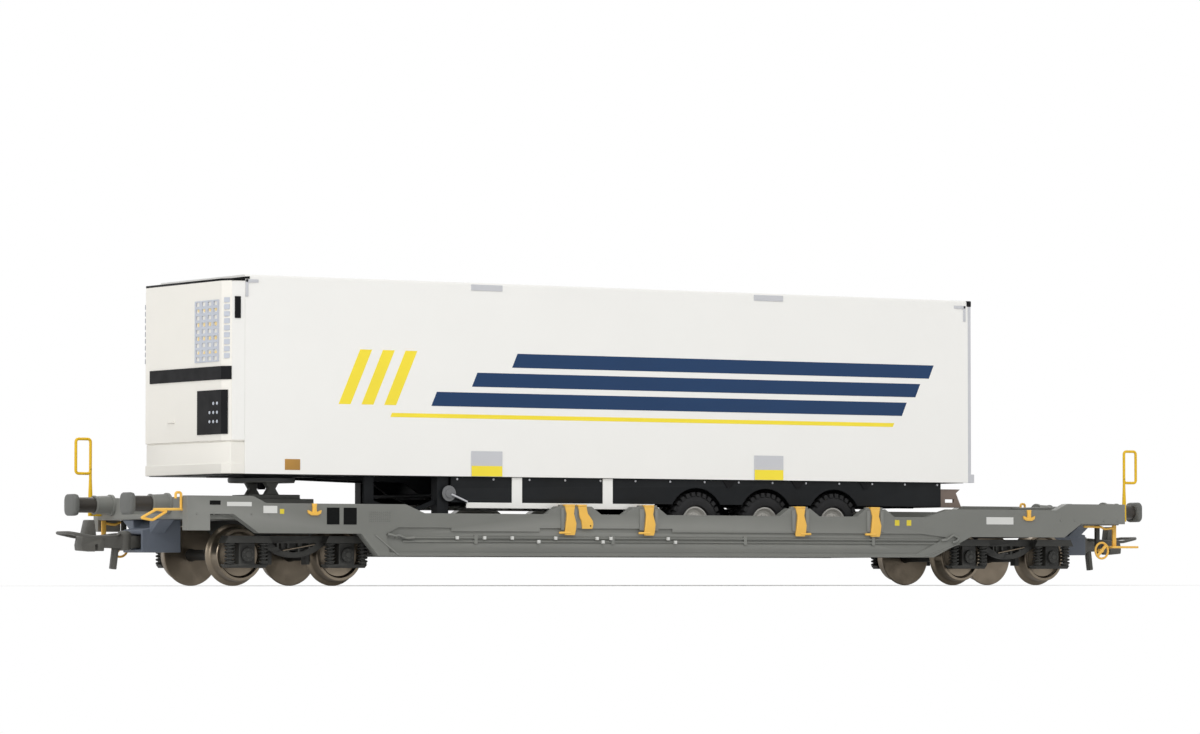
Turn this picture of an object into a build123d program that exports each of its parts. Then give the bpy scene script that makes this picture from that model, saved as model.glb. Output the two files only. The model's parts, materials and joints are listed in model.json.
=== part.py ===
"""Scale model (H0, 1:87) of a pocket wagon that carries a refrigerated semi-trailer.

X runs along the wagon from its front end (-X) to its rear, Y across it and Z up.
The origin is on the floor under the middle of the wagon, so Z = 0 is the bottom of the
wheel flanges. Every height named here is above the rail top, on which the treads run.
All sizes are in millimetres.
"""
from build123d import *
from math import cos, radians, sin
import os

# Wheelsets
flange_depth = 0.7
flange_width = 0.75
flange_slope = 0.45
tread_radius = 4.46
wheel_width = 2.8
wheel_rim = 0.7
wheel_recess = 0.6
wheel_hub_radius = 1.6
wheel_sides = 18
pin_sides = 8
back_to_back = 14.3
axle_radius = 0.9
journal_radius = 0.55
journal_length = 1.9
journal_clearance = 0.05

# Bogies
bogie_wheelbase = 18.97
bogie_plate_gap = 0.5
bogie_plate_thickness = 0.7
bogie_top_gap = 0.4
bogie_bar_height = 1.2
bogie_end_half = 3.8
bow_drop = 3.6
bow_half = 6.2
bow_window_half = 4.9
bow_thickness = 0.9
bow_rib_count = 4
bow_rib_pitch = 2.0
bow_rib_width = 0.35
bolster_half_length = 2.0
bolster_height = 2.4
axle_box_half = 1.5
axle_box_low = 2.9
axle_box_depth = 2.4
axle_box_cover = 0.5
axle_box_cover_radius = 1.2
spring_offset = 3.15
spring_radius = 0.9
spring_seat_thickness = 0.6
brake_block_gap = 0.3
brake_block_thickness = 0.8
block_width = 1.6
pivot_pin_radius = 1.5
pivot_clearance = 0.05
running_gap = 0.3

# Wagon frame along X
length_over_buffers = 210.8
buffer_length = 8.05
end_overhang = 23.0
front_bogie_room = 18.35
rear_bogie_room = 20.15
headstock_thickness = 2.0
bulkhead_thickness = 0.8
front_shoulder = 12.25
rear_shoulder = 13.45
shoulder_ramp = 2.5
front_pocket_ramp = 3.7
rear_pocket_ramp = 5.1
front_bracket = 4.25

# Wagon frame across Y
frame_width = 33.48
beam_thickness = 1.7
relief_depth = 0.3
flap_thickness = 0.35

# Wagon frame heights
end_top = 14.1
deck_edge_top = 12.95
pocket_edge_top = 11.5
hump_top = 12.85
end_bottom = 10.5
front_arch_top = 11.1
bracket_bottom = 8.4
relief_high = 9.1
relief_low = 8.5
bogie_zone_bottom = 8.0
deep_bottom = 4.3
floor_rib_height = 0.3
floor_thickness = 0.5
rib_count = 12
wheel_room = 0.68
deck_thickness = 0.7
hump_ramp = 2.0
hump_shares = (0.3045, 0.4360, 0.7300, 0.8798)
hump_half_tops = (3.4, 2.4, 2.25, 2.1)
pipe_radius = 0.2
pipe_heights = (7.4, 6.8)
clip_count = 4
flap_shifts = (-1.15, 0.6, 0.05, -0.25)
flap_half = 1.2
flap_drop = 5.0

# Buffers
buffer_spacing = 20.12
buffer_height = 12.8
buffer_head_width = 4.0
buffer_head_height = 3.66
buffer_head_thickness = 1.5
buffer_edge = 0.4
buffer_corner = 0.9
plunger_radius = 1.2
socket_radius = 1.5
socket_length = 3.4

# Couplers
coupler_reach = 6.4
coupler_setback = 3.35
coupler_height = 6.6
coupler_pin_radius = 0.6
coupler_pin_clearance = 0.05
coupler_shank_half = 0.9
coupler_shank_height = 1.9
coupler_boss_radius = 1.2
coupler_nose_top = 10.3
coupler_pin_bottom = 2.1
coupler_loop_half = 3.6
coupler_loop_height = 7.7
coupler_loop_corner = 1.6
coupler_wire = 0.5
coupler_box_half = 3.4
coupler_box_wall = 0.5
coupler_box_depth = 2.6
coupler_box_reach = 1.3
coupler_box_front_top = 8.6
gusset_reach = 3.5
gusset_depth = 2.2

# Railings, handles, steps and handwheels
railing_wire = 0.5
railing_top = 24.2
railing_low = 17.9
railing_reach = 5.0
railing_post_reach = 1.75
handwheel_radius = 1.65
handwheel_height = 5.65

# Kingpin support
support_radius = 5.6
support_thickness = 0.8
support_base_height = 3.6
pillar_spacing = 6.5
pillar_thickness = 1.1
pillar_waist_half = 0.65
pillar_foot_half = 1.3
kingpin_radius = 0.7
kingpin_hole_radius = 1.1
kingpin_length = 2.0
skid_thickness = 0.3
resting_gap = 0.1

# Trailer
kingpin_setback = 11.4
rear_axle_setback = 20.6
rear_overhang = 29.85
trailer_width = 29.9
trailer_bottom = 17.8
trailer_height = 32.85
wall = 0.9
rear_frame_depth = 0.7
rear_frame_width = 0.9
door_gap = 0.1
unit_side_depth = 2.55
unit_front_depth = 3.55
unit_chamfer = 1.55
unit_height = 31.8
trim_thickness = 0.15
grille_rows = 9
grille_columns = 4
grille_width = 8.2
grille_height = 10.2
recess_depth = 0.15
seam_depth = 0.3
cap_thickness = 0.35
grille_thickness = 0.2
pad_length = 6.2
chassis_half_gap = 5.0
chassis_beam = 1.0
chassis_depth = 4.6
neck_depth = 0.5
panel_depth = 4.4
panel_thickness = 0.4
skirt_depth = 0.95
skirt_thickness = 0.2
leg_length = 8.2
leg_from_kingpin = 27.25
brace_run = 6.0
brace_drop = 2.2
brace_width = 0.8
hanger_from_leg = 14.9
shaft_radius = 0.35
shaft_drop = 0.3
dock_bumper = (0.7, 1.35, 1.5)
bumper_bar = 0.9

# Trailer wheels
trailer_axle_pitch = 14.7
trailer_axle_radius = 0.8
tyre_radius = 5.2
tyre_width = 3.9
tyre_wall_gap = 0.74
tyre_shoulder = 0.5
lug_count = 12
lug_height = 0.35
lug_angle = 7.0
rim_recess = 0.9
hub_cap_radius = 1.2
rim_radius = 2.7
arch_gap = 0.7

# Sizes that follow from the ones above
rail_top = flange_depth
flange_radius = tread_radius + flange_depth
wheel_inner = back_to_back / 2
wheel_outer = wheel_inner + wheel_width
plate_inner = wheel_outer + bogie_plate_gap
plate_outer = plate_inner + bogie_plate_thickness
seat_bottom = axle_box_low - spring_seat_thickness
box_outer = plate_inner + axle_box_depth
spring_y = plate_outer + spring_radius + 0.05
axle_half = bogie_wheelbase / 2
bogie_half_length = axle_half + spring_offset + 0.2
bogie_top = bogie_zone_bottom - bogie_top_gap
bogie_bar_bottom = bogie_top - bogie_bar_height
bogie_window_top = bogie_top - 0.6
buffer_face = length_over_buffers / 2
frame_end = buffer_face - buffer_length
pivot_x = frame_end - end_overhang
pocket_front = -pivot_x + front_bogie_room
pocket_rear = pivot_x - rear_bogie_room
pocket_length = pocket_rear - pocket_front
beam_outer = frame_width / 2
beam_inner = beam_outer - beam_thickness
rear_ramp_x = pocket_rear - 2.0
floor_low = deep_bottom + floor_rib_height
floor_top = floor_low + floor_thickness
deck_bottom = tread_radius + flange_radius + wheel_room
deck_top = deck_bottom + deck_thickness
coupler_pivot = frame_end - coupler_setback
loop_band = (coupler_loop_height, coupler_loop_height + coupler_wire)
support_top = trailer_bottom - skid_thickness - resting_gap
support_low = support_top - support_thickness
support_base_top = deck_top + support_base_height
kingpin_x = -pivot_x
trailer_front = kingpin_x - kingpin_setback
last_axle_x = pocket_rear - rear_axle_setback
trailer_rear = last_axle_x + rear_overhang
trailer_half = trailer_width / 2
trailer_top = trailer_bottom + trailer_height
inner_half = trailer_half - wall
roof_low = trailer_top - wall
floor_high = trailer_bottom + wall
body_rear = trailer_rear - rear_frame_depth
unit_face = trailer_front - unit_front_depth
unit_front_half = trailer_half - unit_chamfer
unit_seam = (trailer_bottom + 5.2, trailer_bottom + 5.4)
unit_recess = (trailer_bottom + 1.7, trailer_bottom + 5.2)
chassis_bottom = trailer_bottom - chassis_depth
chassis_neck = trailer_bottom - neck_depth
chassis_rear = trailer_rear - 6.35
neck_x = kingpin_x + 7.3
bumper_front = chassis_rear + 0.1
bumper_rear = trailer_rear - 1.2
bumper_low = chassis_bottom + 0.1
tyre_height = floor_top + resting_gap + tyre_radius
tyre_outer = beam_inner - tyre_wall_gap
tyre_inner = tyre_outer - tyre_width
tyre_base = tyre_radius - lug_height
tyre_wall_radius = tyre_base - 0.3
leg_x = kingpin_x + leg_from_kingpin
leg_bottom = trailer_bottom - leg_length
gear_height = trailer_bottom - 2.9
shaft_height = gear_height - shaft_drop
neck_rear = leg_x + 5.1
panel_y = tyre_outer
panel_bottom = trailer_bottom - panel_depth
skirt_bottom = panel_bottom - skirt_depth
skirt_front = leg_x + 4.3
ends = ((-1, "front"), (1, "rear"))
sides = ((-1, "near"), (1, "far"))

os.makedirs("parts", exist_ok=True)


def level_plane(z):
    """Horizontal plane at a height above the rail top."""
    return Plane.XY.offset(rail_top + z)


def side_plane(y):
    """Plane at Y = y, drawn in X and height, whose normal is -Y."""
    return Plane(origin=(0, y, rail_top), x_dir=(1, 0, 0), z_dir=(0, -1, 0))


def cross_plane(x):
    """Plane at X = x, drawn in Y and height, whose normal is +X."""
    return Plane(origin=(x, 0, rail_top), x_dir=(0, 1, 0), z_dir=(1, 0, 0))


def span(side, inner, outer):
    """Low and high coordinate of what lies between two distances on one side of zero."""
    return sorted((side * inner, side * outer))


def block(x, y, z, mode=Mode.ADD):
    """Rectangular block between low and high limits on each axis."""
    with BuildSketch(level_plane(z[0])) as footprint:
        with Locations(((x[0] + x[1]) / 2, (y[0] + y[1]) / 2)):
            Rectangle(x[1] - x[0], y[1] - y[0])
    extrude(footprint.sketch, amount=z[1] - z[0], mode=mode)


def side_plate(outline, y, mode=Mode.ADD):
    """Plate of an outline in X and height, between the two values of y."""
    with BuildSketch(side_plane(y[0])) as profile:
        with BuildLine():
            Polyline(*outline, close=True)
        make_face()
    extrude(profile.sketch, amount=y[0] - y[1], mode=mode)


def cross_plate(outline, x, mode=Mode.ADD):
    """Plate of an outline in Y and height, between the two values of x."""
    with BuildSketch(cross_plane(x[0])) as profile:
        with BuildLine():
            Polyline(*outline, close=True)
        make_face()
    extrude(profile.sketch, amount=x[1] - x[0], mode=mode)


def level_plate(outline, z, mode=Mode.ADD):
    """Plate of an outline in X and Y, between the two values of z."""
    with BuildSketch(level_plane(z[0])) as profile:
        with BuildLine():
            Polyline(*outline, close=True)
        make_face()
    extrude(profile.sketch, amount=z[1] - z[0], mode=mode)


def between(start, end):
    """Plane at the start, facing the end, of two points whose heights are above the rail top."""
    foot = Vector(start[0], start[1], start[2] + rail_top)
    head = Vector(end[0], end[1], end[2] + rail_top)
    return Plane(origin=foot, z_dir=head - foot), (head - foot).length


def bar(start, end, radius, sides=pin_sides, mode=Mode.ADD):
    """Moulded many-sided bar between two points, its corners at the radius."""
    plane, length = between(start, end)
    with BuildSketch(plane) as section:
        RegularPolygon(radius, sides)
    extrude(section.sketch, amount=length, mode=mode)


def socket(start, end, radius, sides=12):
    """Many-sided hole between two points, its flats at the radius."""
    plane, length = between(start, end)
    with BuildSketch(plane) as section:
        RegularPolygon(radius, sides, major_radius=False)
    extrude(section.sketch, amount=length, mode=Mode.SUBTRACT)


def loop(x, z, y, width, corner):
    """Flat loop of moulded wire with cut corners, upright along the wagon."""
    with BuildSketch(side_plane(y[0])) as outline:
        with Locations(((x[0] + x[1]) / 2, (z[0] + z[1]) / 2)):
            Rectangle(x[1] - x[0], z[1] - z[0])
        chamfer(outline.vertices(), corner)
        offset(outline.sketch, amount=-width, kind=Kind.INTERSECTION, mode=Mode.SUBTRACT)
    extrude(outline.sketch, amount=y[0] - y[1])


def save(builder, label):
    """Name a finished piece and write it to its own STEP file."""
    builder.part.label = label
    export_step(builder.part, "parts/" + label + ".step")


# ---------------------------------------------------------------- side beams

hump_centres = [pocket_front + share * pocket_length for share in hump_shares]


def beam_outline():
    """Outline of a side beam: raised ends, low pocket edge with humps, deep middle."""
    front_shoulder_x = -frame_end + front_shoulder
    rear_shoulder_x = frame_end - rear_shoulder
    top = [(-frame_end, end_top), (front_shoulder_x, end_top)]
    top += [(front_shoulder_x + shoulder_ramp, deck_edge_top), (pocket_front, deck_edge_top)]
    top += [(pocket_front + front_pocket_ramp, pocket_edge_top)]
    for centre, half_top in zip(hump_centres, hump_half_tops):
        top += [(centre - half_top - hump_ramp, pocket_edge_top), (centre - half_top, hump_top)]
        top += [(centre + half_top, hump_top), (centre + half_top + hump_ramp, pocket_edge_top)]
    top += [(rear_ramp_x, pocket_edge_top), (rear_ramp_x + rear_pocket_ramp, deck_edge_top)]
    top += [(rear_shoulder_x - shoulder_ramp, deck_edge_top), (rear_shoulder_x, end_top)]
    top += [(frame_end, end_top)]
    bottom = [(frame_end, end_bottom), (pivot_x + 12.85, end_bottom)]
    bottom += [(pivot_x + 8.95, bogie_zone_bottom), (pocket_rear + 7.8, bogie_zone_bottom)]
    bottom += [(pocket_rear - 0.5, deep_bottom), (pocket_front - 5.3, deep_bottom)]
    bottom += [(pocket_front - 8.6, bogie_zone_bottom), (-pivot_x - 9.65, bogie_zone_bottom)]
    bottom += [(-pivot_x - 14.45, front_arch_top), (-frame_end + front_bracket, front_arch_top)]
    bottom += [(-frame_end + front_bracket, bracket_bottom), (-frame_end, bracket_bottom)]
    return top + bottom


def relief_outline():
    """Sunk lower panel on the outside of a side beam, with its stepped upper edge."""
    first, second = hump_centres[0], hump_centres[1]
    upper = [(pocket_front - 1.4, relief_high), (pocket_front + 8.9, relief_high)]
    upper += [(pocket_front + 8.9, relief_low), (first - 7.1, relief_low), (first - 7.1, relief_high)]
    upper += [(second + 5.5, relief_high), (second + 5.5, relief_low)]
    upper += [(pocket_rear - 3.2, relief_low), (pocket_rear + 2.3, relief_low - 0.6)]
    lower = [(pocket_rear - 4.2, deep_bottom + 0.6), (pocket_front - 3.2, deep_bottom + 0.6)]
    return upper + lower + [(pocket_front - 3.8, relief_low - 0.6)]


for side, name in sides:
    pipe_y = side * (beam_outer - relief_depth + pipe_radius / 2)
    sunk = span(side, beam_outer - relief_depth, beam_outer)
    with BuildPart() as side_beam:
        side_plate(beam_outline(), span(side, beam_inner, beam_outer))
        side_plate(relief_outline(), sunk, Mode.SUBTRACT)
        # Air pipes along the sunk panel, held by clips
        for number, height in enumerate(pipe_heights):
            bar((pocket_front - 2.0 + 1.5 * number, pipe_y, height),
                (pocket_rear + 0.6 + 0.9 * number, pipe_y, height), pipe_radius, 6)
        for number in range(clip_count):
            clip_x = pocket_front + (number + 0.5) * pocket_length / clip_count
            block((clip_x - 0.35, clip_x + 0.35), sunk, (pipe_heights[1] - 0.4, pipe_heights[0] + 0.5))
    save(side_beam, "side_beam_" + name)

# ---------------------------------------------------------------- pocket tub

rib_pitch = pocket_length / rib_count
tub_front = pocket_front - bulkhead_thickness
tub_rear = pocket_rear + bulkhead_thickness
with BuildPart() as pocket_tub:
    side_plate([(tub_front, deck_bottom), (pocket_front, deck_bottom),
                (pocket_front, floor_top), (pocket_rear, floor_top), (pocket_rear, deck_bottom),
                (tub_rear, deck_bottom), (tub_rear, floor_low), (tub_front, floor_low)],
               (-beam_inner, beam_inner))
    for number in range(rib_count):
        rib_x = pocket_front + (number + 0.5) * rib_pitch
        block((rib_x - 0.6, rib_x + 0.6), (-beam_inner, beam_inner), (deep_bottom, floor_low))
save(pocket_tub, "pocket_tub")

# ---------------------------------------------------------------- decks, bolsters, headstocks, housings

for end, name in ends:
    wall_x = -pocket_front if end < 0 else pocket_rear
    pivot = end * pivot_x
    with BuildPart() as end_deck:
        block(span(end, wall_x, frame_end - headstock_thickness), (-beam_inner, beam_inner),
              (deck_bottom, deck_top))
        # Windows over the wheels
        for window_x in (pivot - axle_half, pivot + axle_half):
            for side, _ in sides:
                block((window_x - 3.5, window_x + 3.5), span(side, 5.5, beam_inner - 1.5),
                      (deck_bottom, deck_top), Mode.SUBTRACT)
    save(end_deck, "end_deck_" + name)

    with BuildPart() as bolster:
        block((pivot - bolster_half_length, pivot + bolster_half_length), (-beam_inner, beam_inner),
              (bogie_top + running_gap, deck_bottom))
        bar((pivot, 0, bogie_top - bolster_height), (pivot, 0, bogie_top + running_gap), pivot_pin_radius, 12)
    save(bolster, "bolster_" + name)

    with BuildPart() as headstock:
        block(span(end, frame_end - headstock_thickness, frame_end), (-beam_inner, beam_inner),
              (deck_bottom, end_top - 0.2))
        # Recess between the buffers
        block(span(end, frame_end - 0.6, frame_end), (-6.5, 6.5), (deck_bottom + 0.9, end_top - 0.9),
              Mode.SUBTRACT)
    save(headstock, "headstock_" + name)

    # Open-fronted box in which the coupler swings on its pin
    box_back = coupler_pivot - coupler_box_depth
    slot_low = coupler_height - coupler_shank_height / 2 - running_gap
    slot_high = coupler_height + coupler_shank_height / 2 + running_gap
    box_front = frame_end + coupler_box_reach
    box_bottom = slot_low - coupler_box_wall
    with BuildPart() as coupler_housing:
        side_plate([(end * box_back, deck_bottom), (end * box_back, box_bottom),
                    (end * box_front, box_bottom), (end * box_front, coupler_box_front_top),
                    (end * (frame_end - 1.5), coupler_box_front_top + 0.5),
                    (end * (frame_end - 2.5), deck_bottom)], (-coupler_box_half, coupler_box_half))
        block(span(end, box_back + coupler_box_wall, box_front),
              (-coupler_box_half + coupler_box_wall, coupler_box_half - coupler_box_wall),
              (slot_low, slot_high), Mode.SUBTRACT)
        bar((end * coupler_pivot, 0, slot_low), (end * coupler_pivot, 0, slot_high), coupler_pin_radius, 12)
        # Gussets from the box out to the headstock
        for side, _ in sides:
            cross_plate([(side * (coupler_box_half - coupler_box_wall), deck_bottom),
                         (side * (coupler_box_half + gusset_reach), deck_bottom),
                         (side * coupler_box_half, deck_bottom - gusset_depth),
                         (side * (coupler_box_half - coupler_box_wall), deck_bottom - gusset_depth)],
                        span(end, frame_end - headstock_thickness - 1.0, frame_end - 0.3))
    save(coupler_housing, "coupler_housing_" + name)

# ---------------------------------------------------------------- buffers

for end, name in ends:
    head_back = buffer_face - buffer_head_thickness
    socket_end = frame_end + socket_length
    with BuildPart() as buffers:
        for side, _ in sides:
            y = side * buffer_spacing / 2
            with BuildSketch(cross_plane(end * head_back)) as head_outline:
                with Locations((y, buffer_height)):
                    Rectangle(buffer_head_width, buffer_head_height)
                chamfer(head_outline.vertices().filter_by_position(Axis.X, y - 3, y + 3), buffer_corner)
            extrude(amount=end * buffer_head_thickness)
        # Bevel round the front of each head
        for head_front in faces().sort_by(Axis.X)[-2:] if end > 0 else faces().sort_by(Axis.X)[:2]:
            chamfer(head_front.edges(), buffer_edge)
        for side, _ in sides:
            y = side * buffer_spacing / 2
            bar((end * socket_end, y, buffer_height), (end * head_back, y, buffer_height),
                plunger_radius, pin_sides)
            bar((end * frame_end, y, buffer_height), (end * socket_end, y, buffer_height), socket_radius, 10)
    save(buffers, "buffers_" + name)

# ---------------------------------------------------------------- bogies

for end, name in ends:
    x = end * pivot_x
    axles = (x - axle_half, x + axle_half)
    bow_low = bogie_top - bow_drop
    with BuildPart() as bogie_frame:
        for side, _ in sides:
            plate_y = span(side, plate_inner, plate_outer)
            # Curved bow that hangs between the axles, with its window and the ribs that cross it
            with BuildSketch(side_plane(plate_y[0])) as bow:
                with BuildLine():
                    Polyline((x + bow_half, bogie_bar_bottom), (x + bow_half, bogie_top),
                             (x - bow_half, bogie_top), (x - bow_half, bogie_bar_bottom))
                    ThreePointArc((x - bow_half, bogie_bar_bottom), (x, bow_low),
                                  (x + bow_half, bogie_bar_bottom))
                make_face()
                with BuildLine():
                    Line((x + bow_window_half, bogie_window_top), (x - bow_window_half, bogie_window_top))
                    ThreePointArc((x - bow_window_half, bogie_window_top), (x, bow_low + bow_thickness),
                                  (x + bow_window_half, bogie_window_top))
                make_face(mode=Mode.SUBTRACT)
                with Locations((x, (bogie_window_top + bow_low + bow_thickness) / 2)):
                    with GridLocations(bow_rib_pitch, 0, bow_rib_count, 1):
                        Rectangle(bow_rib_width, bogie_window_top - bow_low - bow_thickness + 0.2)
            extrude(amount=plate_y[0] - plate_y[1])
            # Top bar with the pockets that hold the springs' upper ends
            block((x - bogie_half_length, x + bogie_half_length), plate_y, (bogie_bar_bottom, bogie_top))
            for axle_x in axles:
                side_plate([(axle_x - bogie_end_half, bogie_top), (axle_x + bogie_end_half, bogie_top),
                            (axle_x + bogie_end_half + 0.6, bogie_bar_bottom),
                            (axle_x - bogie_end_half - 0.6, bogie_bar_bottom)],
                           span(side, plate_inner, spring_y + spring_radius))
        block((x - bolster_half_length, x + bolster_half_length), (-plate_inner, plate_inner),
              (bogie_top - bolster_height, bogie_top))
        socket((x, 0, bogie_top - bolster_height), (x, 0, bogie_top), pivot_pin_radius + pivot_clearance, 12)
    save(bogie_frame, "bogie_frame_" + name)

    with BuildPart() as axle_boxes:
        for axle_x in axles:
            for side, _ in sides:
                cover_back = box_outer - axle_box_cover
                seat = spring_offset + spring_radius
                # Saddle: the box itself with a seat for a spring on each side of it
                side_plate([(axle_x - axle_box_half, bogie_bar_bottom),
                            (axle_x - axle_box_half, axle_box_low),
                            (axle_x - seat, axle_box_low), (axle_x - seat + 0.5, seat_bottom),
                            (axle_x + seat - 0.5, seat_bottom), (axle_x + seat, axle_box_low),
                            (axle_x + axle_box_half, axle_box_low),
                            (axle_x + axle_box_half, bogie_bar_bottom)],
                           span(side, plate_inner, cover_back))
                bar((axle_x, side * cover_back, tread_radius), (axle_x, side * box_outer, tread_radius),
                    axle_box_cover_radius, 10)
                socket((axle_x, side * plate_inner, tread_radius),
                       (axle_x, side * (plate_inner + journal_length), tread_radius),
                       journal_radius + journal_clearance, pin_sides)
    save(axle_boxes, "axle_boxes_" + name)

    with BuildPart() as springs:
        for axle_x in axles:
            for side, _ in sides:
                for offset_x in (-spring_offset, spring_offset):
                    bar((axle_x + offset_x, side * spring_y, axle_box_low),
                        (axle_x + offset_x, side * spring_y, bogie_bar_bottom), spring_radius, pin_sides)
    save(springs, "springs_" + name)

    with BuildPart() as brake_blocks:
        for axle_x, facing in zip(axles, (1, -1)):
            for side, _ in sides:
                block_y = side * (wheel_inner + flange_width + block_width / 2)
                near_x = axle_x + facing * (flange_radius + brake_block_gap)
                far_x = near_x + facing * brake_block_thickness
                block(sorted((near_x, far_x)), sorted((block_y - block_width / 2, block_y + block_width / 2)),
                      (tread_radius - 1.6, tread_radius + 1.6))
                # Hanger up to the transom that joins the two side frames
                block(sorted((near_x + facing * 0.2, far_x)),
                      span(side, wheel_inner + flange_width, plate_inner),
                      (tread_radius + 1.6, bogie_top - 0.5))
    save(brake_blocks, "brake_blocks_" + name)

    for number, axle_x in enumerate(axles):
        with BuildPart() as wheelset:
            for side, _ in sides:
                bar((axle_x, side * wheel_inner, tread_radius),
                    (axle_x, side * (wheel_inner + flange_width), tread_radius), flange_radius, wheel_sides)
                flange_front = faces().sort_by(Axis.Y)[0 if side < 0 else -1]
                chamfer(flange_front.edges(), flange_slope, flange_depth - 0.01, reference=flange_front)
            for side, _ in sides:
                rim_front = side * wheel_outer
                dish_back = side * (wheel_outer - wheel_recess)
                bar((axle_x, side * wheel_inner, tread_radius), (axle_x, rim_front, tread_radius),
                    tread_radius, wheel_sides)
                # Sunk web between the rim and the hub
                bar((axle_x, rim_front, tread_radius), (axle_x, dish_back, tread_radius),
                    tread_radius - wheel_rim, wheel_sides, Mode.SUBTRACT)
                bar((axle_x, dish_back, tread_radius), (axle_x, rim_front, tread_radius),
                    wheel_hub_radius, pin_sides)
                bar((axle_x, rim_front, tread_radius),
                    (axle_x, side * (plate_inner + journal_length - 0.15), tread_radius), journal_radius,
                    pin_sides)
            bar((axle_x, -wheel_inner, tread_radius), (axle_x, wheel_inner, tread_radius),
                axle_radius, pin_sides)
        save(wheelset, "wheelset_" + name + "_" + str(number + 1))

# ---------------------------------------------------------------- couplers

for end, name in ends:
    tip = buffer_face + coupler_reach
    hook = buffer_face + 0.4
    boss_x = buffer_face - 5.2
    low = coupler_height - coupler_shank_height / 2
    high = coupler_height + coupler_shank_height / 2
    loop_back = boss_x + 1.0
    loop_side = tip - coupler_loop_corner
    loop_inner = coupler_loop_half - coupler_wire
    inner_corner = coupler_loop_corner + 0.2
    with BuildPart() as coupler:
        block(span(end, coupler_pivot - 1.2, hook), (-coupler_shank_half, coupler_shank_half), (low, high))
        socket((end * coupler_pivot, 0, low), (end * coupler_pivot, 0, high),
               coupler_pin_radius + coupler_pin_clearance)
        # Round boss behind the hook, with the uncoupling pin that hangs from it, raked to the back
        bar((end * boss_x, 0, low - 0.4), (end * boss_x, 0, high + 0.5), coupler_boss_radius, pin_sides)
        bar((end * (boss_x + 2.1), 0, coupler_pin_bottom), (end * (boss_x + 1.6), 0, low + 0.3), 0.6)
        # Hook: notched head under the loop, and the nose that stands up through it
        side_plate([(end * (hook - 1.3), low - 0.6), (end * (hook - 0.1), low - 0.6),
                    (end * (hook - 0.1), low + 0.5), (end * (hook + 0.3), low + 0.5),
                    (end * (hook + 0.3), low - 0.7), (end * (hook + 3.0), low - 0.4),
                    (end * (hook + 2.7), high), (end * (hook + 2.2), high + 0.3),
                    (end * (hook + 1.6), coupler_nose_top), (end * (hook + 0.2), coupler_nose_top),
                    (end * hook, high), (end * (hook - 1.3), high)], (-1.3, 1.3))
        # Closed loop round the nose, carried by the boss
        level_plate([(end * loop_back, -coupler_loop_half), (end * loop_side, -coupler_loop_half),
                     (end * tip, -coupler_loop_half + coupler_loop_corner),
                     (end * tip, coupler_loop_half - coupler_loop_corner),
                     (end * loop_side, coupler_loop_half), (end * loop_back, coupler_loop_half)], loop_band)
        level_plate([(end * (loop_back + coupler_wire), -loop_inner),
                     (end * (tip - inner_corner), -loop_inner),
                     (end * (tip - coupler_wire), -coupler_loop_half + inner_corner),
                     (end * (tip - coupler_wire), coupler_loop_half - inner_corner),
                     (end * (tip - inner_corner), loop_inner),
                     (end * (loop_back + coupler_wire), loop_inner)],
                    loop_band, Mode.SUBTRACT)
        side_plate([(end * hook, high), (end * (hook + 2.0), high), (end * (hook + 1.6), coupler_nose_top),
                    (end * (hook + 0.2), coupler_nose_top)], (-0.9, 0.9))
        block(span(end, boss_x, loop_back + coupler_wire), (-0.9, 0.9), (high, loop_band[1]))
    save(coupler, "coupler_" + name)

# ---------------------------------------------------------------- kingpin support

with BuildPart() as kingpin_support:
    # Stepped base
    block((kingpin_x - 5.2, kingpin_x + 7.3), (-5.0, 5.0), (deck_top, support_base_top - 0.7))
    block((kingpin_x - 3.2, kingpin_x + 5.0), (-4.4, 4.4), (support_base_top - 0.7, support_base_top))
    # Two waisted pillars, side by side
    middle = (support_base_top + support_low) / 2
    for side, _ in sides:
        side_plate([(kingpin_x - pillar_foot_half, support_base_top), (kingpin_x - pillar_waist_half, middle),
                    (kingpin_x - pillar_foot_half, support_low), (kingpin_x + pillar_foot_half, support_low),
                    (kingpin_x + pillar_waist_half, middle),
                    (kingpin_x + pillar_foot_half, support_base_top)],
                   span(side, (pillar_spacing - pillar_thickness) / 2,
                        (pillar_spacing + pillar_thickness) / 2))
    # Round plate that the trailer rests on, with the hole for its kingpin
    bar((kingpin_x, 0, support_low), (kingpin_x, 0, support_top), support_radius, 28)
    socket((kingpin_x, 0, support_low), (kingpin_x, 0, support_top), kingpin_hole_radius)
save(kingpin_support, "kingpin_support")

# ---------------------------------------------------------------- railings, steps, handles, handwheels

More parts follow.
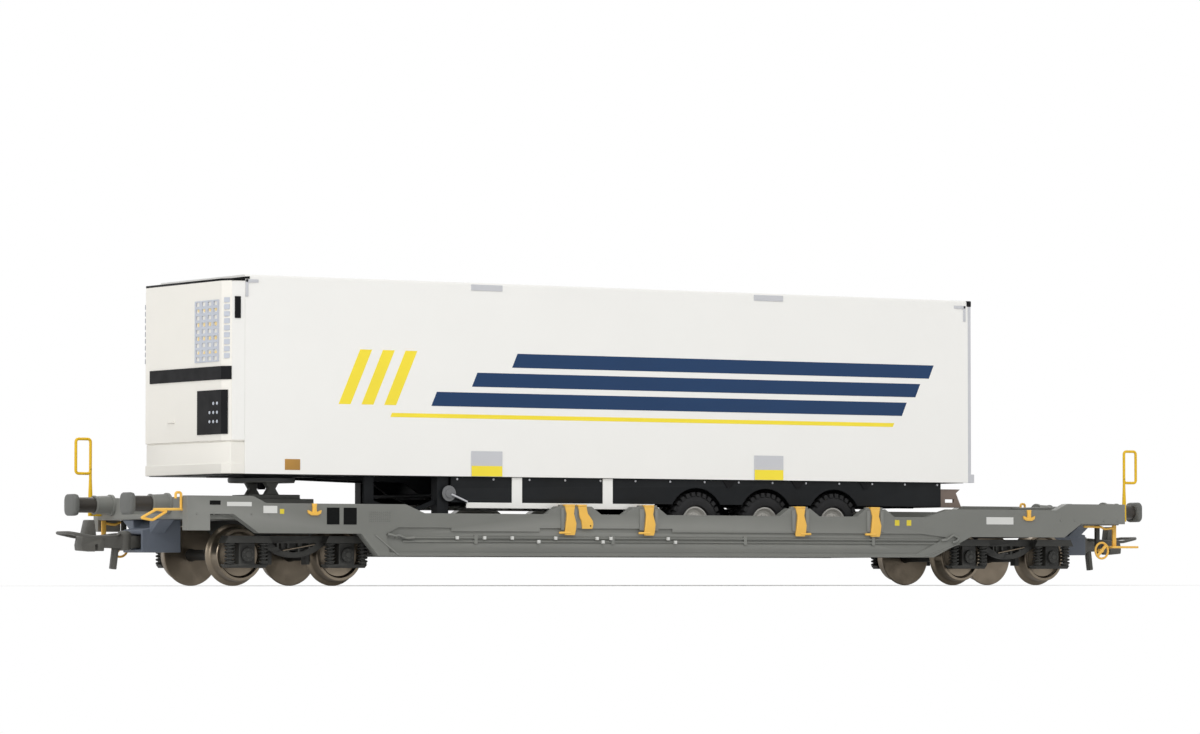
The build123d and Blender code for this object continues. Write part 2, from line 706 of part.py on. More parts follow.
for end, name in ends:
    rail_side = -end
    post_x = frame_end + railing_post_reach
    outer_x = frame_end + railing_reach
    rail_y = span(rail_side, beam_outer - 3.0, beam_outer - 3.0 + railing_wire)
    foot = deck_bottom + 0.7
    with BuildPart() as railing:
        loop(span(end, post_x, outer_x), (railing_low, railing_top), rail_y, railing_wire, 0.8)
        block(span(end, post_x, post_x + railing_wire), rail_y, (foot, railing_low + 0.8))
        block(span(end, frame_end, post_x + railing_wire), rail_y, (foot, foot + 0.8))
    save(railing, "railing_" + name)

    with BuildPart() as fittings:
        # Shunter's step under the railing, with the bar behind it
        step_x = frame_end - 0.75
        step_y = span(rail_side, beam_inner - 0.9, beam_inner - 0.3)
        block(span(end, step_x - 0.4, step_x + 0.4), step_y, (6.5, deck_bottom))
        block(span(end, step_x - 1.2, step_x + 4.9),
              span(rail_side, beam_inner - 1.7, beam_inner + 0.5), (6.1, 6.5))
        block(span(end, step_x - 7.0, step_x - 0.4), step_y, (deck_bottom - 0.4, deck_bottom))
        # Uncoupling handle at the other corner: hook, bar and three-cornered ring
        hook_y = span(-rail_side, beam_outer - 2.0, beam_outer - 1.6)
        block(span(end, frame_end, frame_end + 0.4), hook_y, (11.6, 14.9))
        block(span(end, frame_end, frame_end + 1.4), hook_y, (14.5, 14.9))
        block(span(end, frame_end + 1.0, frame_end + 1.4), hook_y, (13.4, 14.9))
        block(span(end, frame_end, frame_end + 5.2), hook_y, (11.6, 12.0))
        side_plate([(end * (frame_end + 4.8), 12.0), (end * (frame_end + 7.8), 10.4),
                    (end * (frame_end + 5.5), 9.8), (end * (frame_end + 2.6), 11.6)], hook_y)
        # Brake handwheel with a bar across it, on a bracket under the deck
        wheel_x = end * (frame_end - 4.2)
        wheel_y = span(rail_side, beam_inner - 0.1, beam_inner + 0.3)
        with BuildSketch(side_plane(wheel_y[0])):
            with Locations((wheel_x, handwheel_height)):
                RegularPolygon(handwheel_radius, 12)
                RegularPolygon(handwheel_radius - 0.45, 12, mode=Mode.SUBTRACT)
                Rectangle(2 * handwheel_radius - 0.3, 0.5, rotation=45)
        extrude(amount=wheel_y[0] - wheel_y[1])
        block((wheel_x - 0.4, wheel_x + 0.4), span(rail_side, beam_inner - 0.9, beam_inner - 0.1),
              (handwheel_height - 0.4, handwheel_height + 0.4))
        block((wheel_x - 0.4, wheel_x + 0.4), span(rail_side, beam_inner - 1.6, beam_inner - 0.9),
              (handwheel_height - 0.4, deck_bottom - 0.4))
        block((wheel_x - 0.4, wheel_x + 0.4), span(rail_side, beam_inner - 2.4, beam_inner - 0.9),
              (deck_bottom - 0.4, deck_bottom))
    save(fittings, "shunter_fittings_" + name)

# ---------------------------------------------------------------- container flaps


def flap_section(side):
    """Cross-section of a flap: laid over the hump and bulging down the beam's side."""
    outer = beam_outer + flap_thickness
    points = [(beam_inner, hump_top), (beam_inner, hump_top + flap_thickness),
              (outer - 0.15, hump_top + flap_thickness), (outer, hump_top), (outer - 0.1, hump_top - 1.4),
              (outer + 0.15, hump_top - 2.6), (outer - 0.1, hump_top - 3.9), (outer, hump_top - flap_drop),
              (beam_outer, hump_top - flap_drop), (beam_outer, hump_top)]
    return [(side * y, z) for y, z in points]


for side, name in sides:
    skin_y = span(side, beam_outer, beam_outer + flap_thickness)
    with BuildPart() as flaps:
        for index, shift in enumerate(flap_shifts):
            centre = hump_centres[index] + shift
            cross_plate(flap_section(side), (centre - flap_half, centre + flap_half))
            # Hinge pin, which stands out towards the nearer end of the pocket
            pin_end = 1 if index == 2 else -1
            bar((centre + pin_end * flap_half, side * (beam_outer + 0.2), hump_top - 4.5),
                (centre + pin_end * (flap_half + 1.0), side * (beam_outer + 0.2), hump_top - 4.5), 0.2, 6)
        # Second flap beside the first one, standing askew
        lean_x = hump_centres[0] + 1.3
        side_plate([(lean_x - 1.2, hump_top), (lean_x + 1.6, hump_top), (lean_x + 1.9, hump_top - 2.0),
                    (lean_x + 2.7, hump_top - 3.0), (lean_x + 2.4, hump_top - 4.0),
                    (lean_x + 0.2, hump_top - 3.8)],
                   skin_y)
        block((lean_x - 1.2, lean_x + 1.6), span(side, beam_inner, beam_outer + flap_thickness),
              (hump_top, hump_top + flap_thickness))
        # Anchor-shaped pins over the bogies
        for anchor_x in (-pivot_x + 0.7, pivot_x + 0.7):
            top = deck_edge_top
            side_plate([(anchor_x - 0.45, top), (anchor_x + 0.45, top), (anchor_x + 0.35, top - 1.3),
                        (anchor_x + 1.3, top - 1.1), (anchor_x + 1.0, top - 2.0), (anchor_x - 1.0, top - 2.0),
                        (anchor_x - 1.3, top - 1.1), (anchor_x - 0.35, top - 1.3)], skin_y)
    save(flaps, "container_flaps_" + name)

# ---------------------------------------------------------------- trailer body

with BuildPart() as trailer_floor:
    block((trailer_front, body_rear), (-trailer_half, trailer_half), (trailer_bottom, floor_high))
save(trailer_floor, "trailer_floor")

with BuildPart() as trailer_roof:
    block((trailer_front, body_rear), (-trailer_half, trailer_half), (roof_low, trailer_top))
    chamfer(edges().filter_by(Axis.X).group_by(Axis.Z)[-1], 0.3)
save(trailer_roof, "trailer_roof")

for side, name in sides:
    with BuildPart() as trailer_side:
        block((trailer_front, body_rear), span(side, inner_half, trailer_half), (floor_high, roof_low))
    save(trailer_side, "trailer_side_" + name)

with BuildPart() as trailer_front_wall:
    block((trailer_front, trailer_front + wall), (-inner_half, inner_half), (floor_high, roof_low))
save(trailer_front_wall, "trailer_front_wall")

opening_half = trailer_half - rear_frame_width
opening_low = trailer_bottom + rear_frame_width
opening_high = trailer_top - rear_frame_width
with BuildPart() as trailer_rear_frame:
    block((body_rear, trailer_rear), (-trailer_half, trailer_half), (trailer_bottom, trailer_top))
    block((body_rear, trailer_rear), (-opening_half, opening_half), (opening_low, opening_high),
          Mode.SUBTRACT)
    # Dock bumpers at the lower corners
    for side, _ in sides:
        reach, width, height = dock_bumper
        block((trailer_rear, trailer_rear + reach), span(side, trailer_half - width, trailer_half),
              (trailer_bottom, trailer_bottom + height))
save(trailer_rear_frame, "trailer_rear_frame")

with BuildPart() as trailer_rear_doors:
    for side, _ in sides:
        block((body_rear, trailer_rear - 0.15), span(side, door_gap / 2, opening_half),
              (opening_low, opening_high))
        # Locking bars, from the bottom of the frame to its top
        for bar_y in (3.2, 10.2):
            block((trailer_rear - 0.15, trailer_rear + 0.3), span(side, bar_y - 0.2, bar_y + 0.2),
                  (opening_low, opening_high))
save(trailer_rear_doors, "trailer_rear_doors")

# ---------------------------------------------------------------- cooling unit on the front wall


def unit_outline(proud):
    """Plan of the cooling unit with its bevelled front corners, standing proud by an amount."""
    half = trailer_half + proud
    side_x = trailer_front - unit_side_depth
    face_x = unit_face - proud
    front_half = unit_front_half + proud
    return [(trailer_front, -half), (side_x, -half), (face_x, -front_half), (face_x, front_half),
            (side_x, half), (trailer_front, half)]


unit_top = trailer_bottom + unit_height
band_z = (trailer_bottom + 15.5, trailer_bottom + 17.7)
band_far_end = 11.7
panel_z = (trailer_bottom + 6.5, trailer_bottom + 13.8)
panel_end = -unit_front_half + 8.2
side_x = trailer_front - unit_side_depth
with BuildPart() as cooling_unit:
    level_plate(unit_outline(0), (trailer_bottom, unit_top))
    # Sunk board low on the front and the sides, and the seam above it
    level_plate(unit_outline(0), (unit_recess[0], unit_seam[1]), Mode.SUBTRACT)
    level_plate(unit_outline(-recess_depth), unit_recess)
    level_plate(unit_outline(-seam_depth), unit_seam)
save(cooling_unit, "cooling_unit")

# Control panel, folded round the near corner
with BuildPart() as control_panel:
    level_plate(unit_outline(trim_thickness), panel_z)
    level_plate(unit_outline(0), panel_z, Mode.SUBTRACT)
    block((unit_face + 0.6, trailer_front), (-trailer_width, trailer_width), panel_z, Mode.SUBTRACT)
    block((unit_face - 1, trailer_front), (panel_end, trailer_width), panel_z, Mode.SUBTRACT)

with BuildPart() as unit_trim:
    # Band round the front and the near corner, under the grille
    level_plate(unit_outline(trim_thickness), band_z)
    level_plate(unit_outline(0), band_z, Mode.SUBTRACT)
    block((side_x, trailer_front), (-trailer_width, trailer_width), band_z, Mode.SUBTRACT)
    block((unit_face - 1, trailer_front), (band_far_end, trailer_width), band_z, Mode.SUBTRACT)
    add(control_panel.part)
    # Cap over the unit, and the strips that rise from it to the front corners of the roof
    level_plate(unit_outline(0), (unit_top, unit_top + cap_thickness))
    for side, _ in sides:
        proud_y = span(side, trailer_half, trailer_half + trim_thickness)
        side_plate([(side_x, unit_top), (side_x, unit_top + cap_thickness),
                    (trailer_front, trailer_top - 0.35), (trailer_front + 0.8, trailer_top - 0.3),
                    (trailer_front + 0.8, trailer_top - 0.7), (trailer_front, trailer_top - 0.7)], proud_y)
        # Small vent on the side face
        block((side_x + 0.6, side_x + 1.7), proud_y, (unit_top - 6.2, unit_top - 2.6))
save(unit_trim, "unit_trim")

with BuildPart() as unit_grille:
    with BuildSketch(cross_plane(unit_face - grille_thickness)):
        with Locations((-unit_front_half + 0.8 + grille_width / 2, trailer_bottom + 23.6)):
            Rectangle(grille_width, grille_height)
            with GridLocations(grille_width / grille_columns, grille_height / grille_rows,
                               grille_columns, grille_rows):
                Rectangle(grille_width / grille_columns * 0.6, grille_height / grille_rows * 0.6,
                          mode=Mode.SUBTRACT)
    extrude(amount=grille_thickness)
save(unit_grille, "unit_grille")

# ---------------------------------------------------------------- lifting pads

with BuildPart() as lift_pads:
    for pad_x in (kingpin_x + 32.15, last_axle_x - 17.7):
        for side, _ in sides:
            pad_y = span(side, trailer_half, trailer_half + trim_thickness)
            block((pad_x, pad_x + pad_length), pad_y, (trailer_bottom, trailer_bottom + 4.3))
            block((pad_x, pad_x + pad_length), pad_y, (trailer_top - 1.3, trailer_top - 0.3))
save(lift_pads, "lift_pads")

# ---------------------------------------------------------------- trailer chassis

axle_places = [last_axle_x + (number - 2) * trailer_axle_pitch for number in range(3)]
with BuildPart() as trailer_chassis:
    for side, _ in sides:
        beam_y = span(side, chassis_half_gap, chassis_half_gap + chassis_beam)
        # Longitudinal beam with its gooseneck over the front
        side_plate([(neck_x, trailer_bottom), (chassis_rear, trailer_bottom), (chassis_rear, chassis_bottom),
                    (neck_rear, chassis_bottom), (neck_rear - 4.1, chassis_bottom + 1.3),
                    (neck_rear - 5.6, chassis_bottom + 2.3), (neck_rear - 7.8, chassis_bottom + 3.6),
                    (neck_x, chassis_neck)], beam_y)
        # Trailing arms that carry the axles
        for axle_x in axle_places:
            side_plate([(axle_x - 5.6, chassis_bottom), (axle_x - 3.6, chassis_bottom),
                        (axle_x - 1.6, tyre_height + 1.2), (axle_x + 0.6, tyre_height + 1.2),
                        (axle_x + 0.6, chassis_bottom), (axle_x + 2.6, chassis_bottom),
                        (axle_x + 2.6, tyre_height + 0.6), (axle_x + 1.4, tyre_height - 1.4),
                        (axle_x - 1.4, tyre_height - 1.4), (axle_x - 5.0, tyre_height + 1.2)], beam_y)
            socket((axle_x, beam_y[0] - 1, tyre_height), (axle_x, beam_y[1] + 1, tyre_height),
                   trailer_axle_radius + journal_clearance, pin_sides)
    for cross_x in [leg_x + 2.5] + [axle_x + 6.6 for axle_x in axle_places]:
        block((cross_x - 0.6, cross_x + 0.6), (-chassis_half_gap, chassis_half_gap),
              (chassis_bottom + 0.8, trailer_bottom))
save(trailer_chassis, "trailer_chassis")

skid_low = trailer_bottom - skid_thickness
with BuildPart() as kingpin_plate:
    block((kingpin_x - 7.0, kingpin_x + 7.0), (-6.5, 6.5), (skid_low, trailer_bottom))
    bar((kingpin_x, 0, skid_low - kingpin_length), (kingpin_x, 0, skid_low), kingpin_radius, pin_sides)
save(kingpin_plate, "kingpin_plate")

with BuildPart() as landing_gear:
    leg_inner = tyre_outer - 2.4
    leg_outer = tyre_outer - panel_thickness
    for side, _ in sides:
        block((leg_x - 1.1, leg_x + 1.1), span(side, leg_inner, leg_outer), (leg_bottom, trailer_bottom))
        block((leg_x - 1.5, leg_x + 1.5), span(side, leg_inner - 0.2, leg_outer),
              (leg_bottom - 0.4, leg_bottom))
    # Shaft that winds both legs together, under the chassis beams
    bar((leg_x, -leg_inner, shaft_height), (leg_x, leg_inner, shaft_height), shaft_radius)
    # V-shaped brace from the near leg, down and forward, then up to a hanger under the floor
    low_z = gear_height - 1.0 - brace_drop
    low_x = leg_x - 1.0 - brace_run
    hanger_x = leg_x - hanger_from_leg
    side_plate([(leg_x - 1.0, gear_height - 1.0), (leg_x - 1.0, gear_height - 1.0 - brace_width),
                (low_x, low_z - brace_width), (hanger_x, gear_height - 1.0 - brace_width),
                (hanger_x, trailer_bottom), (hanger_x + 1.8, trailer_bottom),
                (hanger_x + 1.8, gear_height - 1.3), (low_x, low_z)],
               (-leg_outer + 0.7, -leg_outer + 1.3))
    # Winding gear and its crank, on the near leg
    bar((leg_x + 0.8, -leg_outer, gear_height), (leg_x + 0.8, -panel_y - 0.3, gear_height), 0.5)
    bar((leg_x + 0.8, -panel_y, gear_height), (leg_x + 0.8, -panel_y - 0.3, gear_height), 1.3, 12)
    side_plate([(leg_x + 0.8, gear_height), (leg_x + 0.8, gear_height - 0.5),
                (leg_x + 4.4, gear_height - 1.7), (leg_x + 4.4, gear_height - 1.2)],
               (-panel_y - 0.3, -panel_y))
save(landing_gear, "landing_gear")

panel_start = leg_x + 1.4
skirt_rear = axle_places[0] - 8.8
for side, name in sides:
    with BuildPart() as side_skirt:
        skirt_y = span(side, panel_y, panel_y + skirt_thickness)
        side_plate([(skirt_front, panel_bottom), (skirt_rear, panel_bottom), (skirt_rear - 1.0, skirt_bottom),
                    (skirt_front, skirt_bottom)], skirt_y)
        for post_x in (panel_start + 13.0, panel_start + 31.4):
            block((post_x - 1.0, post_x + 1.0), skirt_y, (panel_bottom, trailer_bottom))
    save(side_skirt, "side_skirt_" + name)

    with BuildPart() as side_panel:
        panel_band = span(side, panel_y - panel_thickness, panel_y)
        block((panel_start, chassis_rear), panel_band, (panel_bottom, trailer_bottom))
        if side < 0:
            # Notch behind the winding gear
            block((panel_start, leg_x + 2.0), panel_band, (gear_height - 0.8, gear_height + 0.8),
                  Mode.SUBTRACT)
        for axle_x in axle_places:
            bar((axle_x, panel_band[0], tyre_height), (axle_x, panel_band[1], tyre_height),
                tyre_radius + arch_gap, 32, Mode.SUBTRACT)
    save(side_panel, "side_panel_" + name)

with BuildPart() as rear_bumper:
    side_bracket = (tyre_outer - 1.3, tyre_outer - 0.7)
    for side, _ in sides:
        side_plate([(bumper_front, bumper_low + 3.3), (bumper_rear - 0.3, bumper_low + 3.3),
                    (bumper_rear - 1.2, bumper_low + 2.6), (bumper_rear, bumper_low),
                    (bumper_front, bumper_low)],
                   span(side, *side_bracket))
        # Slot in the side bracket
        block((bumper_front + 1.4, bumper_front + 3.4), span(side, *side_bracket),
              (bumper_low + 0.9, bumper_low + 1.5), Mode.SUBTRACT)
        # Hanger up to the floor
        block((bumper_front, bumper_front + bumper_bar),
              span(side, chassis_half_gap, chassis_half_gap + chassis_beam),
              (bumper_low + 2.4, trailer_bottom))
    block((bumper_front, bumper_front + bumper_bar), (-side_bracket[0], side_bracket[0]),
          (bumper_low, bumper_low + 2.4))
save(rear_bumper, "rear_bumper")

with BuildPart() as tail_lamps:
    for side, _ in sides:
        block((bumper_front + bumper_bar, bumper_front + bumper_bar + 0.4), span(side, 7.5, 11.5),
              (bumper_low + 0.6, bumper_low + 1.9))
save(tail_lamps, "tail_lamps")

# ---------------------------------------------------------------- trailer wheels


def tyre_outline(x):
    """Tyre seen from the side: a ring of tread blocks with gaps between them."""
    points = []
    for number in range(lug_count):
        turn = 360 * number / lug_count
        for angle, radius in ((-lug_angle, tyre_base), (-lug_angle, tyre_radius),
                              (lug_angle, tyre_radius), (lug_angle, tyre_base)):
            heading = radians(turn + angle)
            points.append((x + radius * cos(heading), tyre_height + radius * sin(heading)))
    return points


for number, axle_x in enumerate(axle_places):
    hub_front = tyre_outer - rim_recess
    with BuildPart() as trailer_hubs:
        bar((axle_x, -hub_front, tyre_height), (axle_x, hub_front, tyre_height),
            trailer_axle_radius, pin_sides)
        for side, _ in sides:
            bar((axle_x, side * (tyre_inner + 0.4), tyre_height), (axle_x, side * hub_front, tyre_height),
                rim_radius, lug_count)
            bar((axle_x, side * hub_front, tyre_height), (axle_x, side * (tyre_outer - 0.1), tyre_height),
                hub_cap_radius, 10)
    save(trailer_hubs, "trailer_hubs_" + str(number + 1))

    with BuildPart() as tyres:
        for side, _ in sides:
            inside = (axle_x, side * tyre_inner, tyre_height)
            outside = (axle_x, side * tyre_outer, tyre_height)
            bar(inside, outside, tyre_wall_radius, lug_count)
            side_plate(tyre_outline(axle_x),
                       span(side, tyre_inner + tyre_shoulder, tyre_outer - tyre_shoulder))
            bar(inside, outside, rim_radius, lug_count, Mode.SUBTRACT)
    save(tyres, "trailer_tyres_" + str(number + 1))
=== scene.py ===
"""Looks of the pocket wagon model with its refrigerated semi-trailer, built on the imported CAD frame.

Everything is in metres in the CAD frame: X along the wagon, Y across it, Z up from the floor.
Sizes written with MM are millimetres on the model.
"""
import json
from math import atan2, cos, pi, radians, sin

import bmesh
import bpy
from mathutils import Matrix, Vector


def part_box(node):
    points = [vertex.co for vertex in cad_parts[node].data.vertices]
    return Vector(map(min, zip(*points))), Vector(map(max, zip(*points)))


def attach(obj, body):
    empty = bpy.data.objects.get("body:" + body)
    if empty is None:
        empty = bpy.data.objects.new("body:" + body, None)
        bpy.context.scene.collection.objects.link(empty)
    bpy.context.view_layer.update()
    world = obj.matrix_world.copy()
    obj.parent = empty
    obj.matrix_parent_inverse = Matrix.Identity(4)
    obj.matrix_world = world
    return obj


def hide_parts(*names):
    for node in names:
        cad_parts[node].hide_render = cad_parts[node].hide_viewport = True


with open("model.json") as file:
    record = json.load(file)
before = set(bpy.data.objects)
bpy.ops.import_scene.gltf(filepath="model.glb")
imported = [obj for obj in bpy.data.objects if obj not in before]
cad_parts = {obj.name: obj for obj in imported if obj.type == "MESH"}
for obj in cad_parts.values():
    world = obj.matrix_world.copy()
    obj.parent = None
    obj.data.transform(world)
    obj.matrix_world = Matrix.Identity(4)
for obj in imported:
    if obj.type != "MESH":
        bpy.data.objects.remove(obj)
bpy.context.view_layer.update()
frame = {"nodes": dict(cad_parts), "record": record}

MM = 0.001
RAIL = 0.7 * MM
ENDS = ((-1, "front"), (1, "rear"))
SIDES = ((-1, "near"), (1, "far"))
nodes = frame["nodes"]
BODIES = frame["record"]["behaviour"]["bodies"]
body_of_node = {node: body for body, names in BODIES.items() for node in names}

# Places and sizes on the model, in millimetres, with heights over the top of the rails
FRAME_END = 97.35
BEAM_INNER = 15.04
BEAM_OUTER = 16.74
DECK_BOTTOM = 10.3
HUMP_TOP = 12.85
AXLE_HEIGHT = 4.46
BOGIE_WHEELBASE = 18.97
BUFFER_SPACING = 20.12
KINGPIN_X = -74.35
BODY_SIDE = 14.95
BODY_REAR = 63.45
PANEL_FACE = 14.3
TRAILER_AXLES = (4.2, 18.9, 33.6)
UNIT_FACE = -89.3
UNIT_SIDE_X = -88.3
PRINT_THICKNESS = 0.03

# How round softened edges are, how near corners count as one (in metres), and a colour
BEVEL_STEPS = 2
WELD_DISTANCE = 0.0005 * MM
PLAIN_WHITE = (1, 1, 1, 1)

# ---------------------------------------------------------------- materials


def new_node(tree, kind, inputs=None, **settings):
    """New shader node with its settings, its inputs set to values or linked to outputs."""
    made = tree.nodes.new("ShaderNode" + kind)
    for name, value in settings.items():
        setattr(made, name, value)
    for name, value in (inputs or {}).items():
        if isinstance(value, bpy.types.NodeSocket):
            tree.links.new(value, made.inputs[name])
        else:
            made.inputs[name].default_value = value
    return made


def principled(name, colour, roughness, metallic=0.0, coat=0.0, specular=0.5):
    """New material whose constant numbers sit on the shader's own sockets."""
    material = bpy.data.materials.new(name)
    material.use_nodes = True
    shader = material.node_tree.nodes["Principled BSDF"]
    shader.inputs["Base Color"].default_value = (*colour, 1)
    shader.inputs["Roughness"].default_value = roughness
    shader.inputs["Metallic"].default_value = metallic
    shader.inputs["Coat Weight"].default_value = coat
    shader.inputs["Specular IOR Level"].default_value = specular
    return material, shader


def linear(red, green, blue):
    """Linear colour of an sRGB colour given from 0 to 255."""
    def channel(value):
        value /= 255
        return value / 12.92 if value <= 0.04045 else ((value + 0.055) / 1.055) ** 2.4
    return channel(red), channel(green), channel(blue)


def noise(tree, scale, detail=3.0):
    """Noise over the object's own coordinates, its scale counted per metre."""
    place = new_node(tree, "TexCoord").outputs["Object"]
    return new_node(tree, "TexNoise", {"Vector": place, "Scale": scale, "Detail": detail}).outputs["Fac"]


def spread(tree, source, low, high, lower=0.3, upper=0.7):
    """A factor's range, its middle by default, laid out between two values."""
    limits = {"Value": source, "From Min": lower, "From Max": upper, "To Min": low, "To Max": high}
    return new_node(tree, "MapRange", limits).outputs["Result"]


def blend_colours(tree, factor, first, second):
    """Colour between two others, each given as four numbers or as another node's output."""
    ends = {"Factor": factor, "A": first, "B": second}
    return new_node(tree, "Mix", ends, data_type="RGBA").outputs["Result"]


def finished(name, colour, roughness=0.5, mottle=0.05, grain=6000.0, bump=0.25, coat=0.0, highlight_and_wear=0.0, highlight_and_wear_colour=(),
             specular=0.4, metallic=0.0):
    """Surface in an sRGB colour: colour clouds, fine grain, uneven gloss, and lighter edges of wear and
    painted highlight.
    """
    colour = linear(*colour)
    material, shader = principled(name, colour, roughness, metallic, coat, specular)
    tree = material.node_tree
    darker, paler = ([min(c * share, 1) for c in colour] + [1] for share in (1 - mottle, 1 + mottle))
    result = blend_colours(tree, spread(tree, noise(tree, 90.0, 4.0), 0.0, 1.0), darker, paler)
    # Convex edges turn to a lighter colour: partly rubbed wear, partly a painted highlight where edges catch
    # the light.
    if highlight_and_wear:
        edge = spread(tree, new_node(tree, "NewGeometry").outputs["Pointiness"], 0.0, highlight_and_wear, 0.52, 0.62)
        result = blend_colours(tree, edge, result, (*linear(*highlight_and_wear_colour), 1))
    tree.links.new(result, shader.inputs["Base Color"])
    gloss = spread(tree, noise(tree, 400.0, 2.0), roughness - 0.06, roughness + 0.06)
    tree.links.new(gloss, shader.inputs["Roughness"])
    relief = {"Strength": bump, "Distance": 0.02 * MM, "Height": noise(tree, grain, 2.0)}
    tree.links.new(new_node(tree, "Bump", relief).outputs["Normal"], shader.inputs["Normal"])
    return material


# The lighter edge colour in some finishes is partly rubbed wear and partly a painted highlight.
FINISHES = {
    "wagon_grey": dict(colour=(118, 119, 114), roughness=0.55, mottle=0.04, highlight_and_wear=0.3, highlight_and_wear_colour=(160, 160, 155)),
    "bogie_dark": dict(colour=(44, 44, 42), mottle=0.16, highlight_and_wear=0.35, highlight_and_wear_colour=(96, 96, 92), specular=0.3),
    "wheel_steel": dict(colour=(138, 127, 112), roughness=0.34, mottle=0.16, grain=9000.0, bump=0.35,
                        specular=0.5, metallic=1.0),
    "clamp_yellow": dict(colour=(240, 186, 78), mottle=0.04, highlight_and_wear=0.25, highlight_and_wear_colour=(250, 212, 126)),
    "rail_yellow": dict(colour=(228, 184, 18), roughness=0.4, mottle=0.01, bump=0.04),
    "coupler_dark": dict(colour=(76, 75, 71), roughness=0.45, mottle=0.12, highlight_and_wear=0.3, highlight_and_wear_colour=(128, 126, 118)),
    "housing_blue_grey": dict(colour=(98, 105, 116), mottle=0.06),
    "buffer_dark": dict(colour=(98, 99, 96), mottle=0.08, bump=0.35),
    "body_white": dict(colour=(243, 242, 238), roughness=0.35, mottle=0.006, bump=0.05, coat=0.1),
    "unit_cream": dict(colour=(238, 235, 227), roughness=0.4, mottle=0.01, bump=0.08),
    "grille_grey": dict(colour=(190, 195, 205), roughness=0.4, mottle=0.03),
    "frame_grey": dict(colour=(200, 201, 205), roughness=0.4, mottle=0.03),
    "trim_black": dict(colour=(20, 20, 22), mottle=0.1, bump=0.1, specular=0.12),
    "chassis_black": dict(colour=(24, 26, 28), roughness=0.55, mottle=0.1, highlight_and_wear=0.15, highlight_and_wear_colour=(60, 62, 64),
                          specular=0.15),
    "bumper_brown": dict(colour=(125, 110, 100), mottle=0.08),
    "lamp_red": dict(colour=(190, 28, 22), roughness=0.2, coat=0.6),
    "hub_grey": dict(colour=(186, 184, 178), roughness=0.4, mottle=0.06),
    "tyre": dict(colour=(34, 34, 35), roughness=0.7, mottle=0.12, grain=3500.0, bump=0.5, specular=0.25),
}
MATERIALS = {slot: finished(slot, **finish) for slot, finish in FINISHES.items()}
slot_of_node = {part["node"]: part["material_slot"] for part in frame["record"]["subparts"]}
NAVY = finished("print_navy", (20, 55, 95), 0.4, 0.04, specular=0.3)
YELLOW = finished("print_yellow", (248, 226, 60), 0.45, 0.03)
SIGN_YELLOW = finished("print_sign_yellow", (220, 200, 60), 0.5, 0.03)
WHITE_PRINT = finished("print_white", (214, 214, 210), 0.5, 0.02)
# Black for print, and also painted shade where a hole is drawn as a black disc.
BLACK_PRINT_AND_SHADE = finished("print_black_and_shade", (14, 15, 15), 0.6, 0.05, specular=0.1)
GOLD = finished("print_gold", (172, 128, 58), 0.4, 0.12)
PLUNGER = finished("plunger_brown", (52, 48, 43), 0.4, 0.1)
PLATE_GREY = finished("plate_grey", (112, 113, 114), 0.5, 0.05)
WARM_LIGHT = finished("warm_spots", (242, 214, 150), 0.4, 0.04)

# ---------------------------------------------------------------- mesh helpers


def piece(name, mesh, slot, body, material=None, smooth=35):
    """Put a mesh in the scene as a piece that rides on a body and takes a slot's finish."""
    made = bpy.data.objects.new(name, mesh)
    bpy.context.scene.collection.objects.link(made)
    made.data.materials.clear()
    made.data.materials.append(material or MATERIALS[slot])
    for polygon in mesh.polygons:
        polygon.use_smooth = True
    mesh.set_sharp_from_angle(angle=radians(smooth))
    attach(made, body)
    return made


def built(name, build, slot, body, material=None):
    """Piece whose mesh is filled by a function that adds to a bmesh."""
    work = bmesh.new()
    build(work)
    bmesh.ops.recalc_face_normals(work, faces=work.faces)
    mesh = bpy.data.meshes.new(name)
    work.to_mesh(mesh)
    work.free()
    return piece(name, mesh, slot, body, material)


def add_block(work, x, y, z, bevel=0.0, turn=None):
    """Block between low and high limits, its edges softened, turned about its own middle if asked."""
    made = bmesh.ops.create_cube(work, size=1.0)
    corners = made["verts"]
    centre = Vector(((x[0] + x[1]) / 2, (y[0] + y[1]) / 2, (z[0] + z[1]) / 2))
    for corner in corners:
        corner.co = Vector((corner.co.x * (x[1] - x[0]), corner.co.y * (y[1] - y[0]),
                            corner.co.z * (z[1] - z[0])))
        if turn:
            corner.co = turn @ corner.co
        corner.co += centre
    if bevel:
        edges = list({edge for corner in corners for edge in corner.link_edges})
        bmesh.ops.bevel(work, geom=edges, offset=bevel, segments=BEVEL_STEPS, affect="EDGES", profile=0.5)


def spot(x, y, z):
    """Point of a place in millimetres, its height counted from the top of the rails."""
    return Vector((x * MM, y * MM, RAIL + z * MM))


def box_at(work, x, y, z, bevel=0.03, turn=None):
    """Block between limits in millimetres, its heights counted from the top of the rails."""
    low = spot(min(x), min(y), min(z))
    high = spot(max(x), max(y), max(z))
    add_block(work, (low.x, high.x), (low.y, high.y), (low.z, high.z), bevel * MM, turn)


def block_about(work, centre, reach, bevel=0.0, turn=None):
    """Block round a point, its reach each way in millimetres, turned about the point if asked."""
    limits = [(middle - half * MM, middle + half * MM) for middle, half in zip(centre, reach)]
    add_block(work, *limits, bevel * MM, turn)


def join_rings(work, rings, capped=True):
    """Faces between each closed ring of corners and the next, and over the first and last if asked."""
    faces = []
    for first, second in zip(rings, rings[1:]):
        for index in range(len(first)):
            following = (index + 1) % len(first)
            faces.append(work.faces.new((first[index], first[following], second[following], second[index])))
    if capped:
        faces += [work.faces.new(rings[0]), work.faces.new(rings[-1])]
    return faces


def add_prism(work, outline, limits, bevel=0.0):
    """Prism over a closed outline of places along X and heights, pushed between two limits along Y."""
    faces = join_rings(work, [[work.verts.new(spot(x, y, z)) for x, z in outline] for y in limits])
    if bevel:
        edges = list({edge for face in faces for edge in face.edges})
        bmesh.ops.recalc_face_normals(work, faces=faces)
        bmesh.ops.bevel(work, geom=edges, offset=bevel * MM, segments=BEVEL_STEPS, affect="EDGES",
                        profile=0.5)


